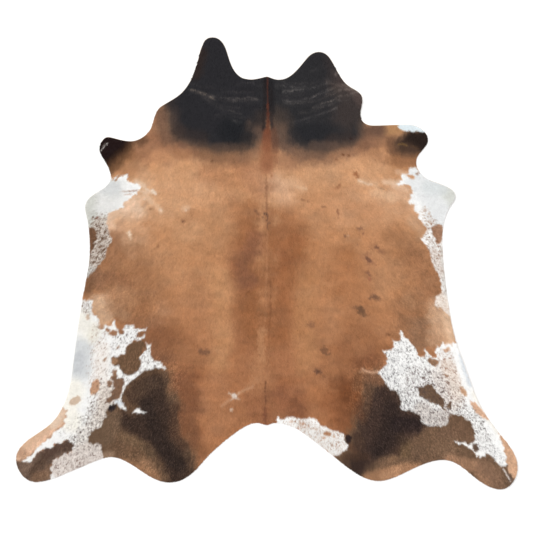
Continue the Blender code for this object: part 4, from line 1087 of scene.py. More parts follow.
def ticks_at(x, y):
    """Which places carry a dark hair tick, 0 to 1, and the tick's colour."""
    share, tint = tick_shares(x, y)
    wander_x = x + TICK_WANDER * noise(x, y, 0.9, 97)
    wander_y = y + TICK_WANDER * noise(x, y, 0.9, 98)
    mark = np.zeros(len(x))
    for pitch, seed, least, most, many, dark in TICK_SIZES:
        distance, own = flecks(wander_x, wander_y, pitch, seed, TICK_STRETCH)
        other = np.mod(own * SECOND, 1.0)
        crowd = CROWD[0] + CROWD[1] * ramp(-0.5, 0.5, rough(x, y, 2.6, seed + 5, 2))
        size = (least + (most - least) * other) * (TICK_GROWTH[0] + TICK_GROWTH[1] * share)
        there = (own < many * share * crowd) * ramp(TICK_EDGE, -TICK_EDGE, distance - size)
        darkness = TICK_DARKNESS[0] + TICK_DARKNESS[1] * np.mod(own * THIRD, 1.0)
        mark = np.maximum(mark, dark * there * darkness)
    return mark, tint


def back_tan(x, y, wobble):
    """The tan of the back: paler at the shoulders, deeper at the rump, with its named tones."""
    colour = np.array(RIB_TAN, float) * np.ones((len(x), 3))
    colour = blend(colour, SHOULDER_TAN, ramp(*SHOULDER_RISE, y))
    colour = blend(colour, RUMP_TAN, 1 - ramp(*RUMP_RISE, y))
    bend = wobble + 0.28 * rough(x * 0.3, y, 2.6, 16, 2) + 0.12 * noise(x, y, 6, 18)
    return lay(colour, x, y, TAN_TONES, bend)


def streaked(colour, x, y, along, across):
    """The tan with its clouds and streaks, which run slanting far out on the sides."""
    slant = ramp(*SLANT_RISE, np.abs(x))
    straight_streaks = rough(x * 0.45, y, 2.4, 31, 3) * (1 - slant)
    streaks = straight_streaks + rough(along * 0.4, across, 2.0, 33, 3) * slant
    straight_fine = noise(x, y / 2.5, 0.9, 35) * (1 - slant)
    fine = straight_fine + noise(along * 0.35, across, 0.8, 36) * slant
    clouds = CLOUD_SHARE * rough(x, y, 8, 21) + STREAK_SHARE * streaks + FINE_SHARE * fine
    warmth = rough(x * 0.6, y, 4.5, 37, 2)
    return colour * (1 + clouds)[:, None] + warmth[:, None] * np.array(WARMTH)


def dark_regions(colour, x, y, wobble, streak, along, across):
    """The neck's tabs and black, the haunches, the marks and wrinkles, and the feet, in that order."""
    ragged = 0.30 * streak + 0.30 * rough(x, y, 3.0, 19, 2)
    tab_edge = 0.3 * ragged + 0.2 * rough(along, across * 0.5, 2.4, 20, 2)
    neck_edge = 0.06 * streak + 0.16 * rough(x, y, 4.0, 19, 2)
    colour = lay(colour, x, y, TAB_TONES, wobble)
    colour = lay_zones(colour, x, y, TAB_ZONES, tab_edge)
    colour = lay(colour, x, y, TAB_MARKS, wobble)
    colour = lay(colour, x, y, NECK_TONES, wobble)
    colour = lay_zones(colour, x, y, NECK_ZONES, neck_edge)
    colour = lay(colour, x, y, BLACK_TONES, wobble)
    colour = lay(colour, x, y, WEDGE_TONES, 0.5 * wobble)
    colour = lay_zones(colour, x, y, HIND_ZONES, ragged)
    colour = lay(colour, x, y, HIND_TONES, wobble)
    colour = lay(colour, x, y, MARKS, 0.8 * wobble + 0.7 * noise(x, y, 0.7, 12))
    colour = lay_creases(colour, x, y)
    colour = lay(colour, x, y, PALE_MARKS, 0.8 * wobble)
    colour = lay_zones(colour, x, y, SHANKS, 0.6 * ragged)
    return lay(colour, x, y, SHANK_TONES, wobble)


def grizzle_at(x, y, wobble):
    """How mixed with paler hairs the coat is, 0 to 1."""
    grizzle = np.zeros(len(x))
    for tone in GRIZZLE:
        grizzle = np.maximum(grizzle, weight_of(x, y, tone, wobble))
    return grizzle


def white_hair(x, y, wobble):
    """The colour of the white hair everywhere, warm or cool as its tones say, with painted shade along the
    hide's rim.
    """
    white = np.array(PLAIN_WHITE, float) * np.ones((len(x), 3))
    white = lay(white, x, y, WHITE_TONES, wobble)
    return white * (1 + WHITE_GRAIN * rough(x, y, 1.2, 81, 2))[:, None]


def white_share(x, y, ragged_x, ragged_y):
    """How white each place is, 0 to 1, from the outlines of the white patches."""
    depth = np.full(len(x), NOT_WHITE)
    for name, edge in WHITE:
        near = near_box(x, y, edge, OUTLINE_MARGIN)
        depth[near] = np.maximum(depth[near], depth_inside(ragged_x[near], ragged_y[near], edge))
    return ramp(-SOFT_EDGE, SOFT_EDGE, depth)


def lay_islands(colour, grizzle, x, y, ragged_x, ragged_y):
    """Coloured islands in the white, and then the single spots."""
    for name, edge, island in ISLANDS:
        near = near_box(x, y, edge, OUTLINE_MARGIN)
        share = ramp(-SOFT_EDGE, ISLAND_EDGE, depth_inside(ragged_x[near], ragged_y[near], edge))
        tone = np.array(island, float) * (1 + ISLAND_GRAIN * noise(x[near], y[near], 0.7, 43))[:, None]
        colour[near] = blend(colour[near], tone, share)
        grizzle[near] = np.maximum(grizzle[near], ISLAND_GRIZZLE * share)
    for spot in SPOTS:
        near = near_box(x, y, ((spot.x, spot.y),), SPOT_MARGIN)
        share = ramp(-SOFT_EDGE, ISLAND_EDGE, spot_depth(ragged_x[near], ragged_y[near], spot))
        colour[near] = blend(colour[near], spot.colour, share)


def spot_depth(x, y, spot):
    """About how far inside a turned oval each place is, in cm."""
    heading = np.radians(spot.heading)
    along = (x - spot.x) * np.cos(heading) + (y - spot.y) * np.sin(heading)
    across = (y - spot.y) * np.cos(heading) - (x - spot.x) * np.sin(heading)
    reach = np.hypot(along / spot.half_length, across / spot.half_width)
    return (1 - reach) * min(spot.half_length, spot.half_width)


def paint(x, y):
    """Colour of the coat (sRGB 0-255) at x, y in cm, how grizzled it is and how white, 0 to 1."""
    streak = noise(x, y / 3.5, 0.8, 15)
    wobble = 0.22 * rough(x, y, 7, 11) + 0.12 * rough(x, y, 1.6, 17, 2) + 0.08 * streak
    along = (y - np.abs(x)) * SLANT_SCALE + SIDES_APART * (x < 0)
    across = (y + np.abs(x)) * SLANT_SCALE
    colour = back_tan(x, y, wobble)
    colour = streaked(colour, x, y, along, across)
    colour = dark_regions(colour, x, y, wobble, streak, along, across)
    grizzle = grizzle_at(x, y, wobble)
    grain = noise(x, y / 1.8, 0.55, 41) + 0.7 * noise(x, y / 2.2, 1.1, 45)
    colour = colour * (1 + (GRAIN_SHARE + GRIZZLE_GRAIN * grizzle) * grain)[:, None]
    ragged_x = x + 0.45 * noise(x, y, 1.6, 61) + 0.3 * noise(x, y, 0.7, 63)
    ragged_y = y + 0.45 * noise(x, y, 1.6, 71) + 0.3 * noise(x, y, 0.7, 73)
    white = white_share(x, y, ragged_x, ragged_y)
    colour = blend(colour, white_hair(x, y, wobble), white)
    grizzle = grizzle * (1 - white)
    lay_islands(colour, grizzle, x, y, ragged_x, ragged_y)
    return np.clip(colour, 0, 255), grizzle, white


# ---------------------------------------------------------------- small tools
def clear_scene():
    """Removes what a new file starts with."""
    for thing in list(bpy.data.objects):
        bpy.data.objects.remove(thing)


def linear(colour):
    """sRGB 0-255 to the linear colour that reads the same under this light."""
    part = np.clip(np.asarray(colour, float) / 255, 0, 1)
    seen = np.where(part <= 0.04045, part / 12.92, ((part + 0.055) / 1.055) ** 2.4)
    return np.maximum(seen - GLOSS_LIFT, DARKEST) / (LIT_WHITE * COAT_SHARE)


# ---------------------------------------------------------------- grids over the hide
# Half sizes of the grids, and how far apart their points stand, in cm
HIDE_GRID = (118, 106)
SHEET_GRID = (117, 105)
HAIR_GRID = (116, 105)
DEPTH_PITCH = 0.5
LIFT_PITCH = 1.2
HEIGHT_PITCH = 1.0
# Reading stays this many steps inside a grid's last line
INSIDE = 1.001


class Raster:
    """Values on an even grid over the hide, in cm, read between its points."""

    def __init__(self, pitch, half_width, half_length):
        self.pitch = pitch
        self.left = -half_width
        self.low = -half_length
        self.columns = int(round(2 * half_width / pitch)) + 1
        self.rows = int(round(2 * half_length / pitch)) + 1
        along = self.left + pitch * np.arange(self.columns)
        up = self.low + pitch * np.arange(self.rows)
        self.x, self.y = np.meshgrid(along, up)
        self.values = None

    def read(self, x, y):
        """The values at any places, evened out between the four points around each."""
        u = np.clip((x - self.left) / self.pitch, 0, self.columns - INSIDE)
        v = np.clip((y - self.low) / self.pitch, 0, self.rows - INSIDE)
        column = u.astype(int)
        row = v.astype(int)
        across = u - column
        up = v - row
        if self.values.ndim == 3:
            across = across[..., None]
            up = up[..., None]
        low = self.values[row, column] * (1 - across) + self.values[row, column + 1] * across
        high = self.values[row + 1, column] * (1 - across) + self.values[row + 1, column + 1] * across
        return low * (1 - up) + high * up


def blur(grid, times):
    """Softens a grid, a little each time."""
    for _ in range(times):
        padded = np.pad(grid, 1, mode="edge")
        grid = (padded[:-2, 1:-1] + 2 * padded[1:-1, 1:-1] + padded[2:, 1:-1]) / 4
        padded = np.pad(grid, 1, mode="edge")
        grid = (padded[1:-1, :-2] + 2 * padded[1:-1, 1:-1] + padded[1:-1, 2:]) / 4
    return grid


def spread_out(grid, known, times):
    """Fills unknown points from their known neighbours, ring by ring."""
    grid = np.where(known, grid, 0.0)
    for _ in range(times):
        weight = np.pad(known.astype(float), 1)
        value = np.pad(grid, 1)
        count = weight[:-2, 1:-1] + weight[2:, 1:-1] + weight[1:-1, :-2] + weight[1:-1, 2:]
        total = value[:-2, 1:-1] + value[2:, 1:-1] + value[1:-1, :-2] + value[1:-1, 2:]
        fresh = ~known & (count > 0)
        grid = np.where(fresh, total / np.maximum(count, 1), grid)
        known = known | fresh
    return grid


# ---------------------------------------------------------------- the solid's outline and lift
# Faces that point up more than this are the top, those that point up less are the side
TOP_FACING = 0.6
SIDE_FACING = 0.4
# Corners closer than this are one, in m; loop points closer than this are dropped, in cm
SAME_POINT = 1e-5
CROWDED = 0.2
SMOOTHINGS = 2
# Depths are measured up to this far from the outline, in cm
DEPTH_REACH = 8
VERY_FAR = 1e9
# Rays for the lift start this far below the floor, in m; then gaps are filled and bumps softened
RAY_START = -0.1
LIFT_RINGS = 10
LIFT_BLURS = 6


def solid_mesh(node):
    """The frame's solid with its corners joined, in a mesh of its own."""
    solid = bmesh.new()
    solid.from_mesh(node.data)
    bmesh.ops.remove_doubles(solid, verts=solid.verts, dist=SAME_POINT)
    solid.normal_update()
    return solid


def outline_of(solid):
    """The top edge of the solid as one closed loop of points, in cm."""
    near = {}
    for edge in solid.edges:
        ups = [face.normal.z for face in edge.link_faces]
        if max(ups) > TOP_FACING and min(abs(up) for up in ups) < SIDE_FACING:
            first, second = edge.verts
            near.setdefault(first, []).append(second)
            near.setdefault(second, []).append(first)
    here = max(near, key=lambda corner: corner.co.y)
    loop = []
    used = set()
    heading = Vector((1, 0, 0))
    while here is not None:
        loop.append(here)
        used.add(here)
        ways = [((corner.co - here.co).normalized(), corner) for corner in near[here] if corner not in used]
        ways.sort(key=lambda way: -way[0].dot(heading))
        heading, here = ways[0] if ways else (heading, None)
    return np.array([(corner.co.x, corner.co.y) for corner in loop]) / CM


def even_loop(points, step):
    """The loop with its points spaced evenly along a smooth curve."""
    apart = np.hypot(*(points - np.roll(points, 1, axis=0)).T)
    points = points[apart > CROWDED]
    for _ in range(SMOOTHINGS):
        before = np.roll(points, 1, axis=0)
        after = np.roll(points, -1, axis=0)
        middle = (9 * (points + after) - before - np.roll(points, -2, axis=0)) / 16
        points = np.stack([points, middle], 1).reshape(-1, 2)
    closed = np.vstack([points, points[:1]])
    run = np.concatenate([[0], np.cumsum(np.hypot(*np.diff(closed, axis=0).T))])
    count = int(run[-1] / step)
    at = np.arange(count) * run[-1] / count
    return np.stack([np.interp(at, run, closed[:, 0]), np.interp(at, run, closed[:, 1])], 1)


def outward(loop):
    """Unit vectors away from the inside of the loop."""
    along = np.roll(loop, -1, axis=0) - np.roll(loop, 1, axis=0)
    side = np.stack([along[:, 1], -along[:, 0]], 1)
    side /= np.hypot(*side.T)[:, None]
    return side * np.sign(signed_area(loop, np.array([np.arange(len(loop))])))


def distance_raster(loop):
    """How far inside the outline each point is, in cm; negative outside."""
    raster = Raster(DEPTH_PITCH, *HIDE_GRID)
    x = raster.x.ravel()
    y = raster.y.ravel()
    nearest = np.full(len(x), VERY_FAR)
    inside = np.zeros(len(x), bool)
    for start, end in zip(np.roll(loop, 1, axis=0), loop):
        close = (np.abs(x - start[0]) < DEPTH_REACH) & (np.abs(y - start[1]) < DEPTH_REACH)
        distance = segment_distance(x[close], y[close], start, end)
        nearest[close] = np.minimum(nearest[close], distance)
        if start[1] != end[1]:
            crosses = (start[1] > y) != (end[1] > y)
            at = start[0] + (y[crosses] - start[1]) * (end[0] - start[0]) / (end[1] - start[1])
            inside[crosses] ^= x[crosses] < at
    nearest = np.minimum(nearest, DEPTH_REACH)
    raster.values = np.where(inside, nearest, -nearest).reshape(raster.x.shape)
    return raster


def lift_raster(solid):
    """Height of the underside of the solid over the floor, in mm, softened."""
    raster = Raster(LIFT_PITCH, *HIDE_GRID)
    tree = BVHTree.FromBMesh(solid)
    heights = np.zeros(raster.x.shape)
    known = np.zeros(raster.x.shape, bool)
    up = Vector((0, 0, 1))
    for row in range(raster.rows):
        for column in range(raster.columns):
            start = Vector((raster.x[row, column] * CM, raster.y[row, column] * CM, RAY_START))
            hit = tree.ray_cast(start, up)[0]
            if hit is not None:
                heights[row, column] = hit.z / MM
                known[row, column] = True
    heights = spread_out(heights, known, LIFT_RINGS)
    raster.values = blur(heights, LIFT_BLURS)
    return raster


# ---------------------------------------------------------------- relief
Fold = namedtuple("Fold", "name path half_width rise")

# Long soft swells and the creases of the hide, rise in mm, the rest in cm
FOLDS = (
    Fold("spine ridge", ((0, 84), (0.4, 60), (0, 30), (0.4, 0), (0.6, -30), (-0.6, -60), (-0.4, -76)),
        1.6, 1.1),
    Fold("left of spine", ((-9, 24), (-10, 0), (-8, -38)), 7.0, 0.9),
    Fold("right of spine", ((10, 20), (12, 0), (9, -36)), 7.0, 0.9),
    Fold("left withers", ((-24, 40), (-38, 26), (-46, 8)), 6.0, 1.4),
    Fold("left ribs", ((-30, 4), (-42, -16), (-48, -34)), 7.0, 1.3),
    Fold("left flank roll", ((-60, 16), (-66, 0), (-70, -16)), 5.0, 1.8),
    Fold("left loin", ((-20, -30), (-34, -46)), 6.0, 1.2),
    Fold("right withers", ((22, 42), (38, 30), (50, 14)), 6.0, 1.4),
    Fold("right ribs", ((28, 6), (40, -14), (46, -36)), 7.0, 1.3),
    Fold("right flank roll", ((62, 18), (70, 0), (74, -20)), 5.0, 1.8),
    Fold("right loin", ((18, -34), (32, -50)), 6.0, 1.2),
    Fold("left stifle", ((-56, -36), (-66, -52), (-78, -62)), 5.0, 2.0),
    Fold("right stifle", ((58, -38), (70, -54), (84, -66)), 5.0, 2.0),
    Fold("left haunch", ((-50, -60), (-54, -78), (-50, -94)), 6.0, 2.2),
    Fold("right haunch", ((50, -62), (56, -80), (52, -96)), 6.0, 2.2),
    Fold("left hock", ((-92, -76), (-102, -90)), 5.0, 1.6),
    Fold("right hock", ((94, -78), (104, -92)), 5.0, 1.6),
    Fold("left neck roll", ((-44, 79), (-28, 76), (-8, 75)), 2.4, 1.3),
    Fold("left neck roll low", ((-38, 71), (-22, 69), (-8, 68)), 2.6, 1.0),
    Fold("right neck roll", ((8, 77), (22, 78), (40, 79)), 2.4, 1.4),
    Fold("right neck roll low", ((10, 71), (24, 73), (42, 76)), 1.8, 1.2),
    Fold("left tab roll", ((-30, 98), (-26, 88)), 4.0, 1.4),
    Fold("right tab roll", ((24, 92), (22, 84)), 4.0, 1.2),
)
WAVE_SIZE = 24.0
WAVE_HEIGHT = 1.3
RIPPLE_SIZE = 4.5
RIPPLE_HEIGHT = 0.35


def relief(x, y):
    """How far the lying hide stands over its flattest, in mm, at x, y in cm."""
    height = WAVE_HEIGHT * (0.5 + 0.5 * rough(x, y, WAVE_SIZE, 301))
    height = height + RIPPLE_HEIGHT * (0.5 + 0.5 * rough(x, y, RIPPLE_SIZE, 311))
    for fold in FOLDS:
        distance = path_distance(x, y, fold.path)
        height = height + fold.rise * np.exp(-((distance / fold.half_width) ** 2))
    return height


def height_raster(solid):
    """Height of the lying hide's underside over the floor, in mm."""
    lift = lift_raster(solid)
    raster = Raster(HEIGHT_PITCH, *HIDE_GRID)
    raster.values = lift.read(raster.x, raster.y) + relief(raster.x, raster.y)
    return raster


# ---------------------------------------------------------------- the leather sheet
# How far the inner points keep off the edge, in cm, on the top and below
TOP_CLEARANCE = 0.55
UNDERSIDE_CLEARANCE = 1.6
GRID_JITTER = 0.25
JITTER_SIZE = 0.9
INSIDE_ONLY = 1
# Island map: the top fills it, the underside has a small corner. Shifts beyond the edge in cm
CHART_WIDTH = 2 * HIDE_GRID[0]
EDGE_SHIFT = 0.4
RIM_SHIFT = 0.8
UNDERSIDE_CHART = 0.08
UNDERSIDE_CHART_LOW = 0.91


def filled(edge, depth, pitch, keep_off):
    """Triangles over the inside of a loop, with inner points on a jittered grid. Points in cm."""
    grid = Raster(pitch, *SHEET_GRID)
    x = (grid.x + GRID_JITTER * pitch * noise(grid.x, grid.y, JITTER_SIZE * pitch, 401)).ravel()
    y = (grid.y + GRID_JITTER * pitch * noise(grid.x, grid.y, JITTER_SIZE * pitch, 402)).ravel()
    keep = depth.read(x, y) > keep_off
    points = np.vstack([edge, np.stack([x[keep], y[keep]], 1)])
    count = len(edge)
    borders = [(index, (index + 1) % count) for index in range(count)]
    found = delaunay_2d_cdt([Vector(point) for point in points], borders, [], INSIDE_ONLY, SAME_POINT)
    corners = np.array([tuple(vertex) for vertex in found[0]])
    triangles = np.array(found[2])
    on_edge = np.zeros(count, int)
    for index, sources in enumerate(found[3]):
        for source in sources:
            if source < count:
                on_edge[source] = index
    return corners, triangles, on_edge


def strip(first, second):
    """Triangles between two rings of the same count."""
    after_first = np.roll(first, -1)
    after_second = np.roll(second, -1)
    one = np.stack([first, second, after_first], 1)
    two = np.stack([second, after_second, after_first], 1)
    return np.vstack([one, two])


def sheet_chart(points):
    """Where points of the hide lie in the island map."""
    return (points + np.array(HIDE_GRID)) / CHART_WIDTH


def underside_chart(points):
    """Where points of the underside lie, small and in a corner of the island map."""
    small = (points + np.array(HIDE_GRID)) * UNDERSIDE_CHART / (2 * HIDE_GRID[1])
    return np.column_stack([small[:, 0], UNDERSIDE_CHART_LOW + small[:, 1]])


def leather_sheet(loop, depth, height, paint_raster, materials):
    """The hide itself: thin, closed, painted on top, suede below."""
    away = outward(loop)
    edge = loop - away * EDGE_INSET * MM / CM
    bulge = loop - away * (EDGE_INSET - RIM_BULGE) * MM / CM
    top, top_triangles, top_ring = filled(edge, depth, TOP_PITCH * MM / CM, TOP_CLEARANCE)
    under, under_triangles, under_ring = filled(edge, depth, UNDERSIDE_PITCH * MM / CM, UNDERSIDE_CLEARANCE)
    low = len(top) + len(loop)
    under_ring = low + under_ring
    middle_ring = len(top) + np.arange(len(loop))
    if signed_area(top, top_triangles) < 0:
        top_triangles = top_triangles[:, ::-1]
    if signed_area(under, under_triangles) > 0:
        under_triangles = under_triangles[:, ::-1]
    walls = np.vstack([strip(top_ring, middle_ring), strip(middle_ring, under_ring)])
    if signed_area(loop, np.array([np.arange(len(loop))])) < 0:
        walls = walls[:, ::-1]
    triangles = np.vstack([top_triangles, walls, low + under_triangles])

    flat = np.vstack([top, bulge, under])
    thick = LEATHER_THICKNESS + UNDERCOAT
    rise = np.concatenate([np.full(len(top), thick), np.full(len(loop), thick / 2), np.zeros(len(under))])
    corners = np.column_stack([flat * CM, (height.read(flat[:, 0], flat[:, 1]) + rise) * MM])
    mesh = triangle_mesh("hide_leather", corners, triangles)

    chart = np.vstack([sheet_chart(top), sheet_chart(edge + EDGE_SHIFT * away), underside_chart(under)])
    wall_chart = chart.copy()
    wall_chart[under_ring] = sheet_chart(edge + RIM_SHIFT * away)
    wall_corners = slice(3 * len(top_triangles), 3 * (len(top_triangles) + len(walls)))
    corner_chart = chart[triangles.ravel()]
    corner_chart[wall_corners] = wall_chart[triangles.ravel()[wall_corners]]
    add_chart(mesh, ISLAND_MAP, corner_chart)
    add_colours(mesh, linear(paint_raster.read(flat[:, 0], flat[:, 1])))
    slots = np.ones(len(triangles), int)
    slots[:len(top_triangles)] = 0
    mesh.materials.append(materials["undercoat"])
    mesh.materials.append(materials["suede"])
    mesh.polygons.foreach_set("material_index", slots)
    mesh.polygons.foreach_set("use_smooth", np.ones(len(triangles), bool))
    return placed(mesh)


def add_chart(mesh, name, corners):
    """Gives the mesh a map with a place for each corner of its triangles."""
    mesh.uv_layers.new(name=name).data.foreach_set("uv", corners.ravel())


def add_colours(mesh, colours):
    """Gives each point of the mesh its painted colour."""
    shown = np.column_stack([colours, np.ones(len(colours))])
    mesh.color_attributes.new(COAT_COLOURS, "FLOAT_COLOR", "POINT").data.foreach_set("color", shown.ravel())


def placed(mesh):
    """The mesh as an object of the same name in the scene."""
    mesh.update()
    thing = bpy.data.objects.new(mesh.name, mesh)
    bpy.context.scene.collection.objects.link(thing)
    return thing


def signed_area(points, faces):
    """Sum of the faces' areas seen from above, negative where they face down."""
    ring = points[faces]
    after = np.roll(ring, -1, axis=1)
    return 0.5 * np.sum(ring[..., 0] * after[..., 1] - ring[..., 1] * after[..., 0])


def triangle_mesh(name, corners, triangles):
    """A mesh from arrays."""
    mesh = bpy.data.meshes.new(name)
    mesh.vertices.add(len(corners))
    mesh.vertices.foreach_set("co", corners.ravel())
    mesh.loops.add(triangles.size)
    mesh.loops.foreach_set("vertex_index", triangles.ravel())
    mesh.polygons.add(len(triangles))
    mesh.polygons.foreach_set("loop_start", np.arange(0, triangles.size, 3))
    mesh.update(calc_edges=True)
    return mesh


def paint_rasters(depth):
    """The painted coat, and how grizzled and how white it is, each on an even grid."""
    colours = Raster(PAINT_PITCH, *HIDE_GRID)
    kinds = Raster(PAINT_PITCH, *HIDE_GRID)
    near = depth.read(colours.x, colours.y) > -PAINT_MARGIN
    colours.values = np.full((*colours.x.shape, 3), UNPAINTED)
    kinds.values = np.zeros((*colours.x.shape, 2))
    colours.values[near], grizzle, white = paint(colours.x[near], colours.y[near])
    kinds.values[near] = np.column_stack([grizzle, white])
    return colours, kinds


# ---------------------------------------------------------------- the hair
# How far locks stray, as the least and most share of their own measure
LENGTH_STRAY = (0.75, 1.25)
WIDTH_STRAY = (0.75, 1.25)
MIDDLE_STRAY = (0.7, 1.2)
TIP_STRAY = (0.5, 1.1)
OVERHANG_STRAY = (0, 1.6)
# Turns in radians: of whole tufts and of single locks
TUFT_TURN = 0.22
TUFT_SIZE = 9.0
LOCK_TURN = 0.20
# Where a lock is widest along its length, how deep it is rooted and how far it rolls, in mm
WIDEST = 0.45
ROOT_DEPTH = 0.2
ROLL = 0.35
# Tries at cutting a lock short at the hide's edge, and the shortest share left by one try
TRIMS = 3
LEAST_TRIM = 0.2
# How far beside itself a lock takes its colour, in cm
COLOUR_SHIFT = 0.16
# The four corners of a lock (root, left, right, tip): its triangles and its places in the maps
LOCK_TRIANGLES = ((0, 2, 1), (1, 2, 3))
LOCK_ISLAND = ((0.5, 0.97), (0.03, 0.5), (0.97, 0.5), (0.5, 0.03))
LOCK_STRANDS = ((0.5, 0), (0, 0.45), (1, 0.45), (0.5, 1))
STRAND_SHIFT = (61.0, 17.0)


def lock_roots(depth):
    """Where the locks grow, in cm, from the neck down."""
    pitch = LOCK_PITCH * MM / CM
    grid = Raster(pitch, *HAIR_GRID)
    order = np.random.default_rng(LOCK_SEED)
    x = (grid.x + pitch * order.uniform(-0.5, 0.5, grid.x.shape)).ravel()
    y = (grid.y + pitch * order.uniform(-0.5, 0.5, grid.x.shape)).ravel()
    keep = depth.read(x, y) > EDGE_INSET * MM / CM
    x = x[keep]
    y = y[keep]
    down = np.argsort(-y, kind="stable")
    return x[down], y[down], order


def lay_locks(x, y, order, depth, height):
    """Corners of every lock, in cm, and its own random number."""
    own = order.random(len(x))
    dx, dy = flow(x, y)
    turn = TUFT_TURN * rough(x, y, TUFT_SIZE, 501, 2) + order.normal(0, LOCK_TURN, len(x))
    along = np.stack([dx * np.cos(turn) - dy * np.sin(turn), dx * np.sin(turn) + dy * np.cos(turn)], 1)
    length = LOCK_LENGTH * MM / CM * order.uniform(*LENGTH_STRAY, len(x))
    root = np.stack([x, y], 1)
    limit = -TIP_OVERHANG * MM / CM * order.uniform(*OVERHANG_STRAY, len(x))
    at_root = depth.read(x, y)
    for _ in range(TRIMS):
        tip = root + along * length[:, None]
        out = depth.read(tip[:, 0], tip[:, 1])
        reach = (at_root - limit) / np.maximum(at_root - out, 1e-6)
        length = np.where(out < limit, length * np.clip(reach, LEAST_TRIM, 1), length)
    length = np.maximum(length, SHORTEST_LOCK * MM / CM)
    across = np.stack([-along[:, 1], along[:, 0]], 1)
    half = 0.5 * LOCK_WIDTH * MM / CM * order.uniform(*WIDTH_STRAY, len(x))
    middle = root + along * (WIDEST * length)[:, None]
    left = middle + across * half[:, None]
    right = middle - across * half[:, None]
    tip = root + along * length[:, None]
    roll = order.normal(0, ROLL, len(x))
    ground = LEATHER_THICKNESS + UNDERCOAT
    heights = (
        np.full(len(x), ground - ROOT_DEPTH),
        ground + LOCK_MIDDLE_HEIGHT * order.uniform(*MIDDLE_STRAY, len(x)) + roll,
        ground + LOCK_MIDDLE_HEIGHT * order.uniform(*MIDDLE_STRAY, len(x)) - roll,
        ground + LOCK_TIP_HEIGHT * order.uniform(*TIP_STRAY, len(x)),
    )
    corners = []
    for point, rise in zip((root, left, right, tip), heights):
        z = (height.read(point[:, 0], point[:, 1]) + rise) * MM / CM
        corners.append(np.column_stack([point, z]))
    return np.stack(corners, 1), own


def lock_colours(corners, own, order, paint_raster, kind_raster):
    """A colour for each corner of each lock, read a little to one side so that edges are ragged."""
    count = len(own)
    side = order.normal(0, COLOUR_SHIFT, (count, 1, 2))
    at = corners[:, :, :2] + side
    middle = (at[:, 1] + at[:, 2]) / 2
    shown = paint_raster.read(at[:, :, 0], at[:, :, 1])
    shown[:, 1] = paint_raster.read(middle[:, 0], middle[:, 1])
    shown[:, 2] = shown[:, 1]
    kind = kind_raster.read(middle[:, 0], middle[:, 1])
    grizzle = kind[:, 0]
    white = kind[:, 1]
    spread = LOCK_SPREAD + GRIZZLE_SPREAD * grizzle - WHITE_SPREAD * white
    shown = shown * (1 + spread * (2 * own - 1))[:, None, None]
    lift = GRIZZLE_LIFT * grizzle * order.random(count) ** 3
    shown = shown + lift[:, None, None] * np.array(GRIZZLE_HAIR)
    mark, tint = ticks_at(middle[:, 0], middle[:, 1])
    mark = mark * white
    shown = shown + (tint[:, None] - shown) * mark[:, None, None]
    return linear(np.clip(shown, 0, 255))


def coat_piece(name, corners, colours, own, material):
    """One joined mesh of locks, each with its own small place in the island map."""
    count = len(corners)
    triangles = np.array(LOCK_TRIANGLES)[None] + 4 * np.arange(count)[:, None, None]
    triangles = triangles.reshape(-1, 3)
    mesh = triangle_mesh(name, corners.reshape(-1, 3) * CM, triangles)
    columns = int(np.ceil(np.sqrt(count)))
    cell = 1 / columns
    low = np.stack([np.arange(count) % columns, np.arange(count) // columns], 1) * cell
    islands = (low[:, None] + np.array(LOCK_ISLAND) * cell).reshape(-1, 2)
    strands = ((own[:, None] * np.array(STRAND_SHIFT))[:, None] + np.array(LOCK_STRANDS)).reshape(-1, 2)
    add_chart(mesh, ISLAND_MAP, islands[triangles.ravel()])
    add_chart(mesh, STRAND_MAP, strands[triangles.ravel()])
    add_colours(mesh, colours.reshape(-1, 3))
    mesh.materials.append(material)
    return placed(mesh)


def coat_pieces(depth, height, paint_raster, kind_raster, material):
    """The whole coat, cut across into pieces with the same count of locks."""
    x, y, order = lock_roots(depth)
    corners, own = lay_locks(x, y, order, depth, height)
    colours = lock_colours(corners, own, order, paint_raster, kind_raster)
    cuts = np.linspace(0, len(own), len(COAT_PIECES) + 1).astype(int)
    made = []
    for name, first, last in zip(COAT_PIECES, cuts[:-1], cuts[1:]):
        part = slice(first, last)
        made.append(coat_piece(name, corners[part], colours[part], own[part], material))
    return made


# ---------------------------------------------------------------- materials
# The middle range of a noise, where nearly all of its values lie
NOISE_RANGE = (0.3, 0.7)
WHOLE_RANGE = (0.0, 1.0)

# How much longer than wide the strands drawn on a lock are
STRAND_STRETCH = (9.0, 0.8, 1.0)

# Colours of the flesh side, sRGB 0-255, and how much the floor's paleness wanders
SUEDE_DARK = (196, 170, 138)
SUEDE_PALE = (222, 204, 178)
FLOOR_WANDER = 0.01


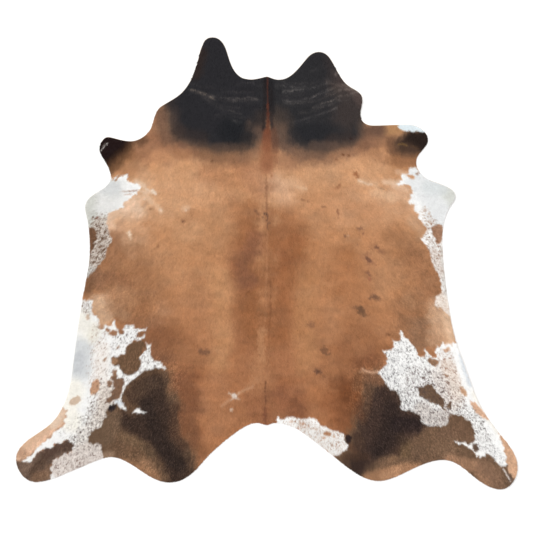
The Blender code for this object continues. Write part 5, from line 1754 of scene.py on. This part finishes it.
class Look:
    """A node material as it is put together. Gloss is the strength of its mirror light."""

    def __init__(self, name, gloss):
        self.material = bpy.data.materials.new(name)
        self.material.use_nodes = True
        self.nodes = self.material.node_tree.nodes
        self.links = self.material.node_tree.links
        self.nodes.clear()
        self.shader = self.nodes.new("ShaderNodeBsdfPrincipled")
        self.shader.inputs["Specular IOR Level"].default_value = gloss
        output = self.nodes.new("ShaderNodeOutputMaterial")
        self.links.new(self.shader.outputs["BSDF"], output.inputs["Surface"])

    def place(self):
        """The place on the object."""
        return self.nodes.new("ShaderNodeTexCoord").outputs["Object"]

    def strand_place(self):
        """The place on a lock, stretched along its strands."""
        place = self.nodes.new("ShaderNodeUVMap")
        place.uv_map = STRAND_MAP
        stretch = self.nodes.new("ShaderNodeMapping")
        stretch.inputs["Scale"].default_value = STRAND_STRETCH
        self.links.new(place.outputs["UV"], stretch.inputs["Vector"])
        return stretch.outputs["Vector"]

    def painted(self):
        """The coat's painted colours."""
        attribute = self.nodes.new("ShaderNodeVertexColor")
        attribute.layer_name = COAT_COLOURS
        return attribute.outputs["Color"]

    def noise(self, place, scale, detail):
        """Soft noise from 0 to 1, with lumps of one part in scale of a metre."""
        texture = self.nodes.new("ShaderNodeTexNoise")
        texture.inputs["Scale"].default_value = scale
        texture.inputs["Detail"].default_value = detail
        self.links.new(place, texture.inputs["Vector"])
        return texture.outputs["Fac"]

    def remap(self, value, low, high):
        """The value's middle range spread from low to high."""
        spread = self.nodes.new("ShaderNodeMapRange")
        spread.inputs["From Min"].default_value = NOISE_RANGE[0]
        spread.inputs["From Max"].default_value = NOISE_RANGE[1]
        spread.inputs["To Min"].default_value = low
        spread.inputs["To Max"].default_value = high
        self.links.new(value, spread.inputs["Value"])
        return spread.outputs["Result"]

    def shade(self, colour, factor):
        """The colour made lighter or darker by a factor."""
        scaled = self.nodes.new("ShaderNodeVectorMath")
        scaled.operation = "SCALE"
        self.links.new(colour, scaled.inputs[0])
        self.links.new(factor, scaled.inputs["Scale"])
        return scaled.outputs["Vector"]

    def between(self, value, ends, first, last):
        """A colour that goes from the first to the last as the value goes from end to end."""
        tint = self.nodes.new("ShaderNodeValToRGB")
        for element, position, colour in zip(tint.color_ramp.elements, ends, (first, last)):
            element.position = position
            element.color = (*colour, 1)
        self.links.new(value, tint.inputs["Fac"])
        return tint.outputs["Color"]

    def wear(self, colour, roughness):
        """Puts a colour and a roughness on the shader."""
        self.links.new(colour, self.shader.inputs["Base Color"])
        self.links.new(roughness, self.shader.inputs["Roughness"])

    def bump(self, height, strength, distance):
        """Gives the surface a fine relief; the distance is in m."""
        bump = self.nodes.new("ShaderNodeBump")
        bump.inputs["Strength"].default_value = strength
        bump.inputs["Distance"].default_value = distance
        self.links.new(height, bump.inputs["Height"])
        self.links.new(bump.outputs["Normal"], self.shader.inputs["Normal"])


def hair_material():
    """Glossy short hair: each lock is drawn with its strands."""
    look = Look("hair_coat", gloss=0.10)
    strands = look.noise(look.strand_place(), scale=1.0, detail=2.0)
    clumps = look.noise(look.place(), scale=60.0, detail=3.0)
    colour = look.shade(look.painted(), look.remap(strands, 0.93, 1.07))
    colour = look.shade(colour, look.remap(clumps, 0.96, 1.04))
    look.wear(colour, look.remap(strands, 0.62, 0.46))
    look.bump(strands, strength=0.35, distance=0.0003)
    return look.material


def undercoat_material():
    """Dense short hair close to the leather."""
    look = Look("undercoat", gloss=0.2)
    fuzz = look.noise(look.place(), scale=900.0, detail=3.0)
    colour = look.shade(look.painted(), look.remap(fuzz, 0.80, 1.05))
    look.wear(colour, look.remap(fuzz, 0.9, 0.7))
    look.bump(fuzz, strength=0.5, distance=0.0005)
    return look.material


def suede_material():
    """The flesh side and the cut edge: pale nappy leather."""
    look = Look("suede", gloss=0.15)
    nap = look.noise(look.place(), scale=700.0, detail=4.0)
    clouds = look.noise(look.place(), scale=9.0, detail=4.0)
    tint = look.between(clouds, NOISE_RANGE, linear(SUEDE_DARK), linear(SUEDE_PALE))
    look.wear(look.shade(tint, look.remap(nap, 0.88, 1.06)), look.remap(nap, 0.98, 0.86))
    look.bump(nap, strength=0.4, distance=0.0004)
    return look.material


def floor_material():
    """Plain pale floor."""
    look = Look("pale_floor", gloss=0.1)
    grain = look.noise(look.place(), scale=3.0, detail=2.0)
    darkest = (FLOOR_ALBEDO,) * 3
    palest = (FLOOR_ALBEDO + FLOOR_WANDER,) * 3
    colour = look.between(grain, WHOLE_RANGE, darkest, palest)
    look.links.new(colour, look.shader.inputs["Base Color"])
    look.shader.inputs["Roughness"].default_value = FLOOR_ROUGHNESS
    return look.material


# ---------------------------------------------------------------- floor, light and camera
def make_floor():
    """A wide flat floor below the hide."""
    mesh = bpy.data.meshes.new("floor")
    corners = [(-FLOOR_HALF, -FLOOR_HALF, 0), (FLOOR_HALF, -FLOOR_HALF, 0), (FLOOR_HALF, FLOOR_HALF, 0),
               (-FLOOR_HALF, FLOOR_HALF, 0)]
    mesh.from_pydata(corners, [], [(0, 1, 2, 3)])
    mesh.materials.append(floor_material())
    floor = placed(mesh)


def make_light():
    """Even sky light and one broad soft sun from the upper left."""
    world = bpy.data.worlds.new("studio")
    world.use_nodes = True
    sky = world.node_tree.nodes["Background"]
    sky.inputs["Color"].default_value = (1, 1, 1, 1)
    sky.inputs["Strength"].default_value = LIT_WHITE * SKY_SHARE
    bpy.context.scene.world = world
    lamp = bpy.data.lights.new("soft_sun", "SUN")
    height = radians(SUN_HEIGHT)
    lamp.energy = LIT_WHITE * (1 - SKY_SHARE) * pi / np.sin(height)
    lamp.angle = radians(SUN_SOFTNESS)
    sun = bpy.data.objects.new("soft_sun", lamp)
    bearing = radians(SUN_BEARING)
    towards = Vector((np.cos(bearing) * np.cos(height), np.sin(bearing) * np.cos(height), np.sin(height)))
    sun.rotation_euler = towards.to_track_quat("Z", "Y").to_euler()
    bpy.context.scene.collection.objects.link(sun)


def make_camera():
    """Straight down over the hide, as the photograph was taken."""
    lens = bpy.data.cameras.new("camera")
    lens.lens = LENS
    lens.sensor_width = SENSOR
    lens.clip_end = SIGHT
    camera = bpy.data.objects.new("camera", lens)
    camera.location = (*VIEW_CENTRE, VIEW_WIDTH * LENS / SENSOR)
    camera.rotation_euler = (0, 0, 0)
    bpy.context.scene.collection.objects.link(camera)
    bpy.context.scene.camera = camera
    bpy.context.scene.view_settings.view_transform = "Standard"


def main():
    """Dresses the frame's solid: a leather sheet and its coat of locks take its place."""
    clear_scene()
    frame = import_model()
    make_camera()
    make_light()
    make_floor()
    node = frame["nodes"]["hide"]
    solid = solid_mesh(node)
    loop = even_loop(outline_of(solid), EDGE_STEP * MM / CM)
    depth = distance_raster(loop)
    height = height_raster(solid)
    solid.free()
    paint_raster, kind_raster = paint_rasters(depth)
    materials = {"undercoat": undercoat_material(), "suede": suede_material()}
    sheet = leather_sheet(loop, depth, height, paint_raster, materials)
    coat = coat_pieces(depth, height, paint_raster, kind_raster, hair_material())
    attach(sheet, "root")
    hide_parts("hide")
    for piece in coat:
        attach(piece, "root")


main()
